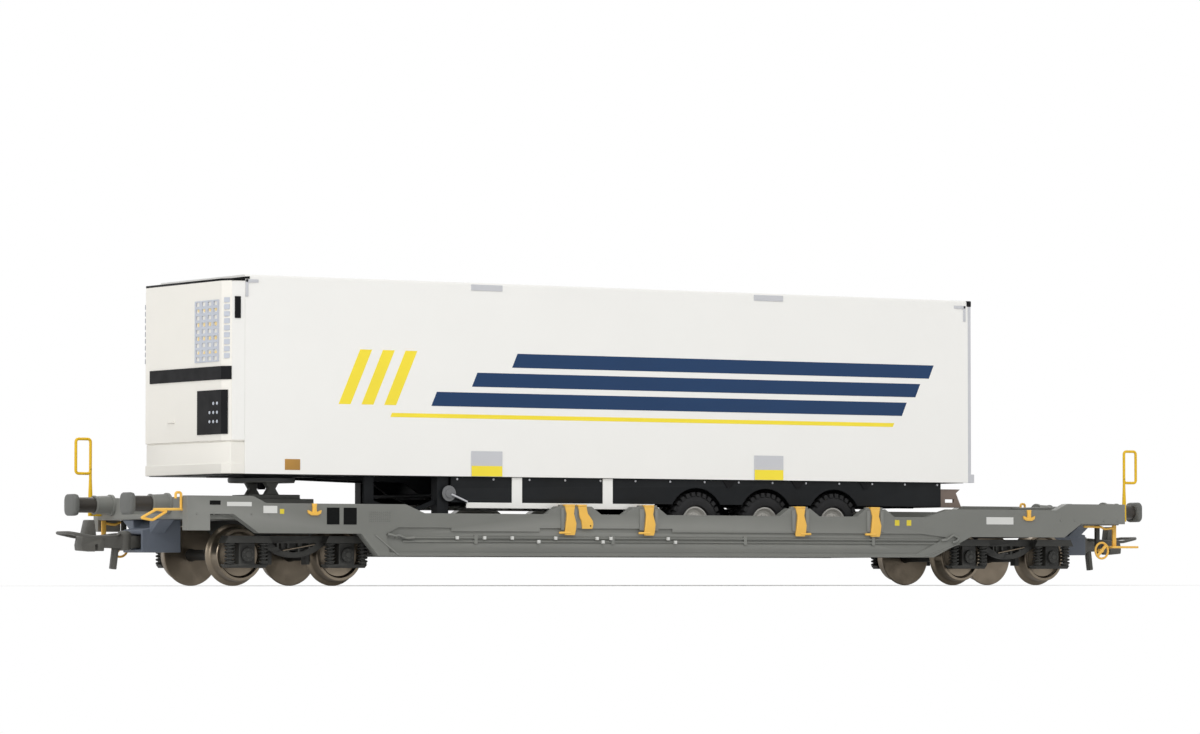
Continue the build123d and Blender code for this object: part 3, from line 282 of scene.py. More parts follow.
def solids(node):
    """Low and high corner of each separate solid of a CAD node."""
    work = bmesh.new()
    work.from_mesh(nodes[node].data)
    bmesh.ops.remove_doubles(work, verts=work.verts, dist=WELD_DISTANCE)
    place = nodes[node].matrix_world
    waiting = set(work.verts)
    boxes = []
    while waiting:
        group = [waiting.pop()]
        reached = []
        while group:
            vertex = group.pop()
            reached.append(place @ vertex.co)
            for edge in vertex.link_edges:
                other = edge.other_vert(vertex)
                if other in waiting:
                    waiting.remove(other)
                    group.append(other)
        boxes.append((Vector([min(point[axis] for point in reached) for axis in range(3)]),
                      Vector([max(point[axis] for point in reached) for axis in range(3)])))
    work.free()
    return boxes


def add_lathe(work, profile, centre, axis="Y", segments=64, joined=False, capped=False):
    """Profile of (distance along the axis, radius) in millimetres, turned about an axis.

    Its two ends are joined to each other, or capped, if asked.
    """
    rings = []
    for along, radius in profile:
        ring = []
        for step in range(segments):
            angle = 2 * pi * step / segments
            across = radius * cos(angle)
            up = radius * sin(angle)
            offset = {"X": (along, across, up), "Y": (across, along, up), "Z": (across, up, along)}[axis]
            ring.append(work.verts.new(Vector(centre) + Vector(offset) * MM))
        rings.append(ring)
    if joined:
        rings.append(rings[0])
    join_rings(work, rings, capped)


def capped_lathe(work, profile, centre, axis="Y", segments=64):
    """Turned solid whose profile starts and ends off the axis, closed by flat ends."""
    add_lathe(work, profile, centre, axis, segments, capped=True)


def rounded_path(points, radius, closed=False, steps=6):
    """Points of a polyline with its corners turned into arcs."""
    path = []
    count = len(points)
    for index, point in enumerate(points):
        here = Vector(point)
        if not closed and index in (0, count - 1):
            path.append(here)
            continue
        before = (Vector(points[index - 1]) - here).normalized()
        after = (Vector(points[(index + 1) % count]) - here).normalized()
        for step in range(steps + 1):
            blend = step / steps
            path.append(here + before * radius * (1 - blend) ** 2 + after * radius * blend ** 2)
    return path


def tube(name, runs, radius, slot, body, rings=8):
    """Round wire along one or more runs, each a list of points and whether it is closed."""
    curve = bpy.data.curves.new(name + "_path", "CURVE")
    curve.dimensions = "3D"
    curve.bevel_depth = radius
    curve.bevel_resolution = rings // 2
    curve.use_fill_caps = True
    for points, closed in runs:
        spline = curve.splines.new("POLY")
        spline.points.add(len(points) - 1)
        for target, point in zip(spline.points, points):
            target.co = (*point, 1)
        spline.use_cyclic_u = closed
    temporary = bpy.data.objects.new(name + "_curve", curve)
    mesh = bpy.data.meshes.new_from_object(temporary)
    mesh.name = name
    bpy.data.objects.remove(temporary)
    return piece(name, mesh, slot, body, smooth=60)


def dress(node, bevel):
    """Softer-edged copy of a CAD node that stands for it."""
    work = bmesh.new()
    work.from_mesh(nodes[node].data)
    bmesh.ops.remove_doubles(work, verts=work.verts, dist=WELD_DISTANCE)
    bmesh.ops.dissolve_limit(work, angle_limit=radians(1), verts=work.verts, edges=work.edges)
    mesh = bpy.data.meshes.new(node + "_dressed")
    work.to_mesh(mesh)
    work.free()
    made = piece(node + "_dressed", mesh, slot_of_node[node], body_of_node[node])
    soften = made.modifiers.new("soft_edges", "BEVEL")
    soften.width = bevel
    soften.segments = BEVEL_STEPS
    soften.limit_method = "ANGLE"
    soften.angle_limit = radians(40)
    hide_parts(node)


# ---------------------------------------------------------------- CAD nodes that stay, with their finish

for name, node in nodes.items():
    node.data.materials.clear()
    node.data.materials.append(MATERIALS[slot_of_node[name]])

SOFT_EDGES = {
    "side_beam_near": 0.12, "side_beam_far": 0.12, "pocket_tub": 0.06, "end_deck_front": 0.06,
    "end_deck_rear": 0.06, "headstock_front": 0.15, "headstock_rear": 0.15, "coupler_housing_front": 0.15,
    "coupler_housing_rear": 0.15, "bogie_frame_front": 0.1, "bogie_frame_rear": 0.1, "axle_boxes_front": 0.12,
    "axle_boxes_rear": 0.12, "brake_blocks_front": 0.08, "brake_blocks_rear": 0.08, "bolster_front": 0.06,
    "bolster_rear": 0.06, "cooling_unit": 0.25, "trailer_chassis": 0.08, "landing_gear": 0.08,
    "rear_bumper": 0.06, "kingpin_support": 0.1, "side_skirt_near": 0.03, "side_skirt_far": 0.03,
    "side_panel_near": 0.05, "side_panel_far": 0.05, "tail_lamps": 0.06, "trailer_rear_doors": 0.06,
    "trailer_rear_frame": 0.06, "lift_pads": 0.03, "unit_trim": 0.02,
}
for node, bevel in SOFT_EDGES.items():
    dress(node, bevel * MM)

# ---------------------------------------------------------------- wheelsets


def wheelset(name):
    """Turned wheelset: flanged treads, dished webs, hub bosses and a blackened axle."""
    low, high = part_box(name)
    centre = (low + high) / 2
    radius = (high.z - low.z) / 2 / MM
    reach = (high.y - low.y) / 2 / MM
    tread = radius - 0.7
    inner = 7.15
    outer = 9.95

    def build(work):
        flange = [(inner, 1.0), (inner, radius - 0.15), (inner + 0.1, radius - 0.03), (inner + 0.22, radius),
                  (inner + 0.36, radius - 0.08), (inner + 0.55, tread + 0.3), (inner + 0.75, tread + 0.06)]
        rim = [(inner + 0.95, tread), (outer - 0.15, tread - 0.08), (outer, tread - 0.2),
               (outer, tread - 0.62), (outer - 0.1, tread - 0.72), (outer - 0.55, tread - 0.95),
               (outer - 0.6, tread - 1.6)]
        hub = [(outer - 0.35, 1.45), (outer - 0.1, 1.25), (outer - 0.05, 1.1), (outer - 0.05, 0.95)]
        profile = flange + rim + hub
        for side, _ in SIDES:
            capped_lathe(work, [(side * along, size) for along, size in profile], centre, segments=96)
    wheels = built(name + "_turned", build, "wheel_steel", body_of_node[name])
    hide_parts(name)

    def build_axle(work):
        half = [(inner - 1.2, 0.9), (inner, 1.1), (outer + 0.1, 0.9), (outer + 0.1, 0.55),
                (reach - 0.3, 0.55), (reach, 0.4)]
        mirrored = [(-along, size) for along, size in reversed(half)]
        capped_lathe(work, mirrored + half, centre, segments=32)
    built(name + "_axle", build_axle, "bogie_dark", body_of_node[name])


for _, end_name in ENDS:
    for number in (1, 2):
        wheelset("wheelset_" + end_name + "_" + str(number))

# ---------------------------------------------------------------- bogie details


def coil(centre_x, centre_y, low, high, radius, wire, turns):
    """Points of one coil spring, its ends closed flat."""
    steps = int(turns * 14)
    points = []
    for step in range(steps + 1):
        share = step / steps
        angle = 2 * pi * turns * share
        rise = min(max((share - 0.06) / 0.88, 0), 1)
        points.append((centre_x + radius * cos(angle), centre_y + radius * sin(angle),
                       low + wire + (high - low - 2 * wire) * rise))
    return points


def bogie_details(end_name):
    """Coil springs, bolted axle-box covers and slanting links of one bogie."""
    body = "bogie_" + end_name
    low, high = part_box("springs_" + end_name)
    box_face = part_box("axle_boxes_" + end_name)[1].y
    centre_x = (low.x + high.x) / 2
    axles = [centre_x - BOGIE_WHEELBASE * MM / 2, centre_x + BOGIE_WHEELBASE * MM / 2]
    radius = 0.9 * MM
    wire = 0.17 * MM
    places = [(axle_x + offset * MM, side * (high.y - radius))
              for axle_x in axles for offset in (-3.15, 3.15) for side, _ in SIDES]
    runs = [(coil(x, y, low.z, high.z, radius - wire, wire, 6), False) for x, y in places]
    coils = tube("springs_" + end_name + "_coils", runs, wire, "bogie_dark", body)
    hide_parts("springs_" + end_name)

    def build_cores(work):
        for x, y in places:
            capped_lathe(work, [(0, 0.5), ((high.z - low.z) / MM, 0.5)], (x, y, low.z), "Z", 16)
    built("springs_" + end_name + "_cores", build_cores, "bogie_dark", body)

    def build_bolts(work):
        ring = 0.85 * MM
        height = RAIL + AXLE_HEIGHT * MM
        for axle_x in axles:
            for side, _ in SIDES:
                face = side * box_face
                for number in range(6):
                    angle = pi / 6 + number * pi / 3
                    head = (axle_x + ring * cos(angle), face, height + ring * sin(angle))
                    capped_lathe(work, [(-side * 0.1, 0.16), (side * 0.06, 0.16)], head, "Y", 6)
                capped_lathe(work, [(-side * 0.1, 0.55), (side * 0.1, 0.45)], (axle_x, face, height), "Y", 24)
    built("axle_boxes_" + end_name + "_bolts", build_bolts, "bogie_dark", body)

    # Slanting links between the wheels, under the top bar
    links = []
    for side, _ in SIDES:
        y = side * 11.35 * MM
        links.append(([(centre_x - 2.2 * MM, y, RAIL + 5.2 * MM), (centre_x + 3.8 * MM, y, RAIL + 6.2 * MM)],
                      False))
    tube("bogie_" + end_name + "_links", links, 0.14 * MM, "wheel_steel", body)


for _, end_name in ENDS:
    bogie_details(end_name)

# ---------------------------------------------------------------- buffers


def buffers(end, end_name):
    """Rounded rectangular heads on round plungers in flanged sockets."""
    node = "buffers_" + end_name
    low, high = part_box("buffers_" + end_name)
    face, root = (high.x, low.x) if end > 0 else (low.x, high.x)
    height = (low.z + high.z) / 2
    spacing = BUFFER_SPACING * MM / 2
    half_high = (high.z - low.z) / 2
    half_wide = high.y - spacing
    corner = 0.9 * MM
    socket = 3.4
    plunger = abs(face - root) / MM - socket
    # How far behind the face each ring of the head lies, and how far inside its outline
    stations = ((0.0, 0.55), (0.05, 0.3), (0.16, 0.12), (0.35, 0.02), (0.6, 0.0), (1.0, 0.08), (1.2, 0.3))

    def head_ring(work, x, y, shrink):
        ring = []
        for across, up, start in ((1, 1, 0), (-1, 1, 90), (-1, -1, 180), (1, -1, 270)):
            for step in range(7):
                angle = radians(start + 15 * step)
                ring.append(work.verts.new(
                    (x, y + across * (half_wide - shrink - corner) + corner * cos(angle),
                     height + up * (half_high - shrink - corner) + corner * sin(angle))))
        return ring

    def build_heads(work):
        for side, _ in SIDES:
            rings = [head_ring(work, face - end * back * MM, side * spacing, shrink * MM)
                     for back, shrink in stations]
            join_rings(work, rings)

    def build_plungers(work):
        for side, _ in SIDES:
            capped_lathe(work, [(-end * 1.1, 1.3), (-end * plunger, 1.3)], (face, side * spacing, height),
                         "X", 40)

    def build_sockets(work):
        for side, _ in SIDES:
            y = side * spacing
            steps = [(0, 1.78), (0.45, 1.78), (0.5, 1.6), (3.1, 1.5), (3.15, 1.6), (socket, 1.6)]
            capped_lathe(work, [(end * along, size) for along, size in steps], (root, y, height), "X", 40)
            for number in range(4):
                angle = pi / 4 + number * pi / 2
                bolt = (root, y + 1.6 * MM * cos(angle), height + 1.6 * MM * sin(angle))
                capped_lathe(work, [(0, 0.18), (end * 0.6, 0.18)], bolt, "X", 6)

    made = built(node + "_heads", build_heads, "buffer_dark", "wagon")
    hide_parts("buffers_" + end_name)
    built(node + "_plungers", build_plungers, "buffer_dark", "wagon", PLUNGER)
    built(node + "_sockets", build_sockets, "wagon_grey", "wagon")


for end, end_name in ENDS:
    buffers(end, end_name)

# ---------------------------------------------------------------- railings and yellow fittings


def railing(end, end_name):
    """Round-wire railing: a post with a loop at its top."""
    node = "railing_" + end_name
    low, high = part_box(node)
    wire = 0.25 * MM
    y = (low.y + high.y) / 2
    inner = end * ((FRAME_END + 1.75) * MM + wire)
    outer = end * ((FRAME_END + 5.0) * MM - wire)
    top = high.z - wire
    bottom = RAIL + 17.9 * MM + wire
    loop = rounded_path([(inner, y, bottom), (inner, y, top), (outer, y, top), (outer, y, bottom)],
                        0.6 * MM, True)
    post = [(inner, y, bottom + 0.8 * MM), (inner, y, low.z + 0.4 * MM)]
    made = tube(node + "_wire", [(loop, True), (post, False)], wire, "rail_yellow", "wagon", rings=12)
    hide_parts(node)

    def build(work):
        capped_lathe(work, [(0, 0.4), (3.6, 0.36), (6.2, 0.26)], (inner, y, low.z), "Z", 20)
        add_block(work, sorted((end * FRAME_END * MM, inner)), (y - wire, y + wire),
                  (low.z, low.z + 0.8 * MM), 0.06 * MM)
    built(node + "_foot", build, "rail_yellow", "wagon")


def fittings(end, end_name):
    """Step, bar, uncoupling handle and brake handwheel in round wire and pressed plate."""
    node = "shunter_fittings_" + end_name
    rail_side = -end
    step_x = FRAME_END - 0.75
    step_y = rail_side * (BEAM_INNER - 0.6)
    hook_y = -rail_side * (BEAM_OUTER - 1.8)

    def handle(*places):
        """Points beyond the frame's end, given by how far they stand out and how high."""
        return [spot(end * (FRAME_END + out), hook_y, z) for out, z in places]

    def bar(*places):
        """Points behind the step, given by how far back they are and how high."""
        return [spot(end * (step_x - back), step_y, z) for back, z in places]

    runs = [
        (rounded_path(bar((0.4, 9.8), (2.2, 9.6), (3.0, 10.0), (7.0, 10.05)), 0.4 * MM), False),
        (rounded_path(handle((-0.1, 11.8), (0.2, 11.8), (0.2, 14.6), (1.2, 14.6), (1.2, 13.6)), 0.4 * MM),
         False),
        (handle((0.1, 11.85), (5.2, 11.8)), False),
        (rounded_path(handle((4.7, 11.8), (7.5, 10.4), (5.4, 10.05), (2.8, 11.5)), 0.3 * MM, True), True),
    ]
    wires = tube(node + "_wire", runs, 0.22 * MM, "clamp_yellow", "wagon", rings=10)
    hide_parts(node)

    wheel = spot(end * (FRAME_END - 4.2), rail_side * (BEAM_INNER + 0.1), 5.65)
    hoop_radius = 1.45 * MM
    hoop = []
    for step in range(40):
        angle = 2 * pi * step / 40
        hoop.append(wheel + Vector((hoop_radius * cos(angle), 0, hoop_radius * sin(angle))))
    tube(node + "_hoop", [(hoop, True)], 0.2 * MM, "clamp_yellow", "wagon", rings=10)

    def build(work):
        block_about(work, wheel, (1.35, 0.14, 0.28), 0.05, Matrix.Rotation(radians(-45), 3, "Y"))
        hub = [(-rail_side * 0.9, 0.35), (rail_side * 0.2, 0.35), (rail_side * 0.25, 0.2)]
        capped_lathe(work, hub, wheel, "Y", 20)
        box_at(work, (end * (step_x - 0.4), end * (step_x + 0.4)), (step_y - 0.2, step_y + 0.2),
               (6.4, DECK_BOTTOM), 0.08)
        box_at(work, (end * (step_x - 1.2), end * (step_x + 4.9)), (step_y - 1.1, step_y + 1.1),
               (6.1, 6.5), 0.1)
    built(node + "_plates", build, "clamp_yellow", "wagon")

    def build_bracket(work):
        wheel_x = end * (FRAME_END - 4.2)
        box_at(work, (wheel_x - 0.4, wheel_x + 0.4),
               (rail_side * (BEAM_INNER - 1.6), rail_side * (BEAM_INNER - 0.9)), (5.25, DECK_BOTTOM), 0.08)
    built(node + "_bracket", build_bracket, "bogie_dark", "wagon")


for end, end_name in ENDS:
    railing(end, end_name)
    fittings(end, end_name)

# ---------------------------------------------------------------- trailer wheels


def tyre_pair(number):
    """Tyres with rounded shoulders and three rows of tread blocks, on bolted hub discs."""
    node = "trailer_tyres_" + str(number)
    hub_node = "trailer_hubs_" + str(number)
    low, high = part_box(node)
    centre = (low + high) / 2
    radius = (high.z - low.z) / 2 / MM
    outer = high.y / MM
    width = 3.9
    inner = outer - width
    base = radius - 0.35
    rim = 2.7
    face = outer - 0.75
    blocks = 26

    def add_blocks(work, side, row, start, share):
        """One row of tread blocks round a tyre, the middle row shallower and set between the others."""
        depth = radius - base + (0.1 if row == 1 else 0.35)
        middle = side * (inner + (start + share) / 2 * width)
        for block in range(blocks):
            angle = 2 * pi * (block + 0.5 * (row == 1)) / blocks
            turn = Matrix.Rotation(-angle, 3, "Y")
            block_at = centre + turn @ Vector((radius - depth / 2, 0, 0)) * MM
            block_at.y = middle * MM
            block_about(work, block_at, (depth / 2, (share - start) / 2 * width, 0.36), turn=turn)

    def build(work):
        wall = [(inner + 0.5, rim), (inner + 0.1, rim + 0.25), (inner, rim + 0.9), (inner + 0.15, base - 0.5),
                (inner + 0.6, base), (outer - 0.6, base), (outer - 0.15, base - 0.5), (outer, rim + 0.9),
                (outer - 0.1, rim + 0.25), (outer - 0.5, rim)]
        for side, _ in SIDES:
            add_lathe(work, [(side * along, size) for along, size in wall], centre, segments=72, joined=True)
            for row, (start, share) in enumerate(((0.02, 0.30), (0.35, 0.65), (0.70, 0.98))):
                add_blocks(work, side, row, start, share)
    tyres = built(node + "_tread", build, "tyre", body_of_node[node])
    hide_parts(node)

    def build_hub(work):
        disc = [(inner + 0.5, rim - 0.02), (outer - 0.45, rim - 0.02), (outer - 0.4, rim - 0.25),
                (outer - 0.95, rim - 0.6), (outer - 1.1, rim - 1.0), (face, 1.55), (face, 1.0),
                (outer - 0.2, 0.9), (outer - 0.1, 0.7)]
        for side, _ in SIDES:
            capped_lathe(work, [(side * along, size) for along, size in disc], centre, segments=56)
            for bolt in range(10):
                angle = 2 * pi * bolt / 10
                stud = (centre.x + 1.3 * MM * cos(angle), side * face * MM, centre.z + 1.3 * MM * sin(angle))
                capped_lathe(work, [(-side * 0.1, 0.13), (side * 0.2, 0.13)], stud, "Y", 6)
        capped_lathe(work, [(-inner, 0.8), (inner, 0.8)], centre, segments=32)
    hubs = built(hub_node + "_disc", build_hub, "hub_grey", body_of_node[hub_node])
    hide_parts(hub_node)


for number in (1, 2, 3):
    tyre_pair(number)

# ---------------------------------------------------------------- couplers


def coupler(end, end_name):
    """Cast coupler: eye, shank, round boss with its pin, notched hook, nose, and a wire loop round it."""
    node = "coupler_" + end_name
    pivot = end * 94.0
    shank = pivot + end * 0.95
    boss = end * 100.2
    hook = end * 105.8
    low = 5.65
    high = 7.55
    y = (-0.9, 0.9)

    def past_hook(*places):
        """Outline given by how far its corners lie outwards of the hook, and how high."""
        return [(hook + end * out, z) for out, z in places]

    def build(work):
        eye = [(0, 0.62), (0, 1.2), (1.9, 1.2), (1.9, 0.62)]
        add_lathe(work, eye, spot(pivot, 0, low), "Z", 28, joined=True)
        add_prism(work, [(shank, low), (boss, low - 0.2), (hook, low), (hook, high), (boss, high + 0.1),
                         (shank, high)], y, bevel=0.2)
        capped_lathe(work, [(-0.5, 0.9), (-0.35, 1.15), (2.3, 1.2), (2.6, 0.95), (2.8, 0.5)],
                     spot(boss, 0, low), "Z", 32)
        # Hook with its notch, and the nose above it
        add_prism(work, past_hook((-1.3, low - 0.6), (-0.1, low - 0.6), (-0.1, low + 0.5), (0.3, low + 0.5),
                                  (0.3, low - 0.7), (2.9, low - 0.5), (3.0, low + 0.4), (2.7, high),
                                  (-1.3, high)), (-1.3, 1.3), bevel=0.15)
        add_prism(work, past_hook((-0.1, high - 0.2), (2.3, high - 0.2), (2.1, high + 0.6), (1.6, 10.2),
                                  (0.3, 10.2)), y, bevel=0.18)
        # Pin that hangs from the boss, four-sided with grooves
        foot = spot(boss + end * 2.1, 0, 2.1)
        head = spot(boss + end * 1.6, 0, low + 0.3)
        rake = Matrix.Rotation(atan2(head.x - foot.x, head.z - foot.z), 3, "Y")
        for width, depth in ((0.55, 0.35), (0.38, 0.5)):
            block_about(work, (foot + head) / 2, (width, depth, (head - foot).length / 2 / MM), 0.08, rake)
    made = built(node + "_cast", build, "coupler_dark", node)
    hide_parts(node)

    # Loop whose sides dip between the boss and its tip
    wire = 0.27
    half = 3.6 - wire
    near = [(boss + end * 1.3, -0.7, 7.8), (boss + end * 3.0, -half, 7.45), (end * 107.5, -half, 7.35),
            (end * (111.8 - wire), -half + 0.9, 8.05)]
    corners = near + [(x, -y, z) for x, y, z in reversed(near)]
    loop = rounded_path([spot(*corner) for corner in corners], 0.8 * MM, True, 5)
    tube(node + "_loop", [(loop, True)], wire * MM, "coupler_dark", node, rings=10)


for end, end_name in ENDS:
    coupler(end, end_name)

# ---------------------------------------------------------------- container flaps

# Each hump's place, how far its flap stands off it, and which way the flap's pin points
HUMPS = ((-22.4, -1.15, -1), (-7.95, 0.6, -1), (24.45, 0.05, 1), (40.95, -0.25, -1))
# Heights down a strap with its left and right edge, and how far out its face lies at each
STRAP = ((HUMP_TOP, -0.97, 0.99), (12.3, -0.86, 0.98), (11.6, -0.66, 0.78), (10.9, -0.72, 0.95),
         (9.9, -0.86, 1.2), (8.9, -0.98, 1.15), (8.35, -1.04, 1.1), (7.95, -0.95, 0.98))
LEANING_STRAP = ((12.82, -0.81, 0.93), (12.2, -0.58, 1.05), (11.6, -0.58, 1.17), (11.0, -0.46, 1.64),
                 (10.4, -0.18, 2.06), (9.75, -0.04, 2.24), (9.05, 0.05, 2.1))
ANCHOR = ((-0.45, 12.95), (0.45, 12.95), (0.36, 12.2), (0.42, 11.5), (0.95, 11.75), (1.32, 11.85),
          (1.2, 11.3), (0.6, 10.98), (-0.6, 10.98), (-1.2, 11.3), (-1.32, 11.85), (-0.95, 11.75),
          (-0.42, 11.5), (-0.36, 12.2))
STRAP_FACE = (17.02, 16.98, 17.05, 17.12, 17.2, 17.1, 17.02, 16.95)
RIBS = ((-25.33, -24.75), (-22.72, -22.1), (-9.3, -8.45), (-6.2, -5.5), (22.7, 23.4), (25.6, 26.3),
        (38.9, 39.6), (41.8, 42.5))


def add_strap(work, centre, side, shape):
    """Pressed strap that follows a shape's heights and edges, bulging outwards."""
    inner = 16.72
    rings = []
    for (z, left, right), outer in zip(shape, STRAP_FACE):
        rings.append([work.verts.new(spot(centre + x, side * y, z))
                      for x, y in ((left, inner), (left, outer - 0.12), (left + 0.14, outer),
                                   (right - 0.14, outer), (right, outer - 0.12), (right, inner))])
    join_rings(work, rings)


def container_flaps(side, side_name):
    """Yellow flaps over the humps, one leaning, and the anchor-shaped pins over the bogies."""
    node = "container_flaps_" + side_name
    over_hump = (side * BEAM_INNER, side * 17.02)

    def build(work):
        for hump, shift, pin_end in HUMPS:
            centre = hump + shift
            add_strap(work, centre, side, STRAP)
            box_at(work, (centre - 0.97, centre + 0.99), over_hump, (HUMP_TOP, 13.2), 0.08)
            capped_lathe(work, [(0, 0.2), (pin_end * 2.1, 0.2), (pin_end * 2.2, 0.14)],
                         spot(centre, side * 16.94, 8.35), "X", 16)
        add_strap(work, -21.1, side, LEANING_STRAP)
        box_at(work, (-21.91, -20.17), over_hump, (12.84, 13.19), 0.08)
        for middle in (-73.65, 75.05):
            outline = [(middle + x, z) for x, z in ANCHOR]
            add_prism(work, outline, (side * BEAM_OUTER, side * 17.06), bevel=0.05)
    made = built(node + "_straps", build, "clamp_yellow", "wagon")
    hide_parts(node)

    # The hole is a black disc on the strap: painted shade in place of an open hole.
    def build_hole(work):
        capped_lathe(work, [(0, 0.14), (side * 0.06, 0.14)], spot(-19.5, side * 17.03, 9.55), "Y", 16)
    built(node + "_hole", build_hole, "wagon_grey", "wagon", BLACK_PRINT_AND_SHADE)

    # Guide ribs beside the flaps, with their cheeks on the humps
    def build_ribs(work):
        for x in RIBS:
            box_at(work, x, (side * 16.6, side * 17.0), (8.8, 12.5), 0.1)
            box_at(work, x, (side * 15.8, side * 16.6), (12.8, 13.15), 0.1)
    built(node + "_ribs", build_ribs, "wagon_grey", "wagon")


for side, side_name in SIDES:
    container_flaps(side, side_name)

# ---------------------------------------------------------------- side beams


def beam_details(side, side_name):
    """Pipe ends, clips, relief ribs, studs and blank plates on a side beam."""
    name = "beam_" + side_name
    face = side * BEAM_OUTER

    def build(work):
        # Relief ribs that run down to the deep part
        for x0, z0, x1, z1 in ((-62.07, 7.79, -57.63, 4.5), (51.67, 4.5, 59.35, 6.77)):
            add_prism(work, [(x0, z0), (x1, z1), (x1 + 0.35, z1), (x0 + 0.35, z0)],
                      (face, face + side * 0.12))
        for column in range(11):
            for row in range(5):
                capped_lathe(work, [(0, 0.09), (side * 0.1, 0.06)],
                             spot(-62.9 + 0.39 * column, face, 10.1 + 0.38 * row), "Y", 8)
        # Bolt heads along the upper edge of the ends
        for x in (-95.6, -92.4, -85.4, -82.2, 82.4, 85.6, 92.4, 95.6):
            capped_lathe(work, [(0, 0.17), (side * 0.12, 0.12)], spot(x, face, 11.1), "Y", 8)
    built(name + "_ribs", build, "wagon_grey", "wagon")

    front = ((-59.55, 8.0), (-58.0, 7.62), (-57.55, 7.81), (-56.0, 7.25), (-54.5, 7.4))
    rear = ((55.2, 7.4), (56.4, 7.4), (57.9, 8.3), (59.2, 7.7), (58.4, 7.1), (57.7, 7.0))
    pipes = [(rounded_path([spot(x, face + side * 0.25, z) for x, z in run], 0.3 * MM), False)
             for run in (front, rear)]
    tube(name + "_pipe_ends", pipes, 0.2 * MM, "wagon_grey", "wagon")

    def build_clips(work):
        for z, places in ((7.4, (-46.1, -40.7, -35.2, -26.5, -18.1, -15.3, -3.5)),
                          (6.8, (-29.9, -16.9, -2.0))):
            for x in places:
                box_at(work, (x - 0.25, x + 0.25), (face, face + side * 0.45), (z - 0.28, z + 0.28), 0.06)
    built(name + "_clips", build_clips, "wagon_grey", "wagon", WHITE_PRINT)

    def print_on(label, boxes, material):
        def build_print(work):
            for x, z in boxes:
                box_at(work, x, (face, face + side * PRINT_THICKNESS), z, 0.0)
        built(name + "_" + label, build_print, "wagon_grey", "wagon", material)

    print_on("black_plates", [((-71.2, -68.8), (9.5, 12.3)), ((-68.0, -65.5), (9.5, 12.3)),
                              ((-93.2, -91.2), (12.6, 13.3))], BLACK_PRINT_AND_SHADE)
    print_on("yellow_squares", [((45.1, 46.1), (9.95, 10.95)), ((47.7, 48.7), (9.95, 10.95)),
                                ((-80.1, -79.3), (11.2, 12.0))], SIGN_YELLOW)
    print_on("white_plates", [((65.5, 71.6), (10.3, 11.6)), ((-90.0, -85.4), (12.4, 13.1)),
                              ((-83.2, -80.6), (11.3, 12.5))], WHITE_PRINT)


for side, side_name in SIDES:
    beam_details(side, side_name)

# ---------------------------------------------------------------- kingpin support and landing gear


def support_details():
    """Lighter rim round the top of the kingpin support."""
    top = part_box("kingpin_support")[1].z

    def build(work):
        add_lathe(work, [(-0.6, 5.5), (-0.55, 5.68), (-0.08, 5.68), (-0.02, 5.58)], (KINGPIN_X * MM, 0, top),
                  "Z", 72)
    built("kingpin_support_rim", build, "wagon_grey", "wagon", PLATE_GREY)


def gear_details():
    """Disc and crank of the landing gear's winding gear."""
    def build(work):
        capped_lathe(work, [(0, 1.35), (-0.12, 1.3), (-0.14, 0.8), (-0.3, 0.75), (-0.34, 0.3)],
                     spot(-46.3, -14.6, 14.9), "Y", 40)
    built("landing_gear_disc", build, "chassis_black", "trailer", PLATE_GREY)
    crank = rounded_path([spot(x, -14.98, z) for x, z in ((-46.0, 14.75), (-44.6, 14.2), (-42.9, 13.5))],
                         0.4 * MM)
    tube("landing_gear_crank", [(crank, False)], 0.16 * MM, "frame_grey", "trailer")


support_details()
gear_details()

# ---------------------------------------------------------------- trailer body


def slanted(x, z, lean=0.45):
    """Four corners of a bar whose ends lean back with its height."""
    shift = lean * (z[1] - z[0])
    return [(x[0], z[0]), (x[1], z[0]), (x[1] + shift, z[1]), (x[0] + shift, z[1])]


def livery(side, side_name):
    """Stacked bars with slanting ends, a thin line under them, and three short bars ahead of them."""
    face = (side * BODY_SIDE, side * (BODY_SIDE + 0.025))

    def print_bars(name, bars, material):
        def build(work):
            for bar in bars:
                add_prism(work, slanted(*bar), face)
        built("livery_" + side_name + "_" + name, build, "body_white", "trailer", material)

    print_bars("navy", [((-50.0, 48.0), (29.6, 32.0)), ((-42.0, 51.0), (33.0, 35.4)),
                        ((-34.0, 54.0), (36.4, 38.8))], NAVY)
    print_bars("line", [((-58.0, 46.0), (27.6, 28.3))], YELLOW)
    print_bars("short", [((x, x + 2.3), (29.6, 38.8)) for x in (-68.0, -63.6, -59.2)], YELLOW)


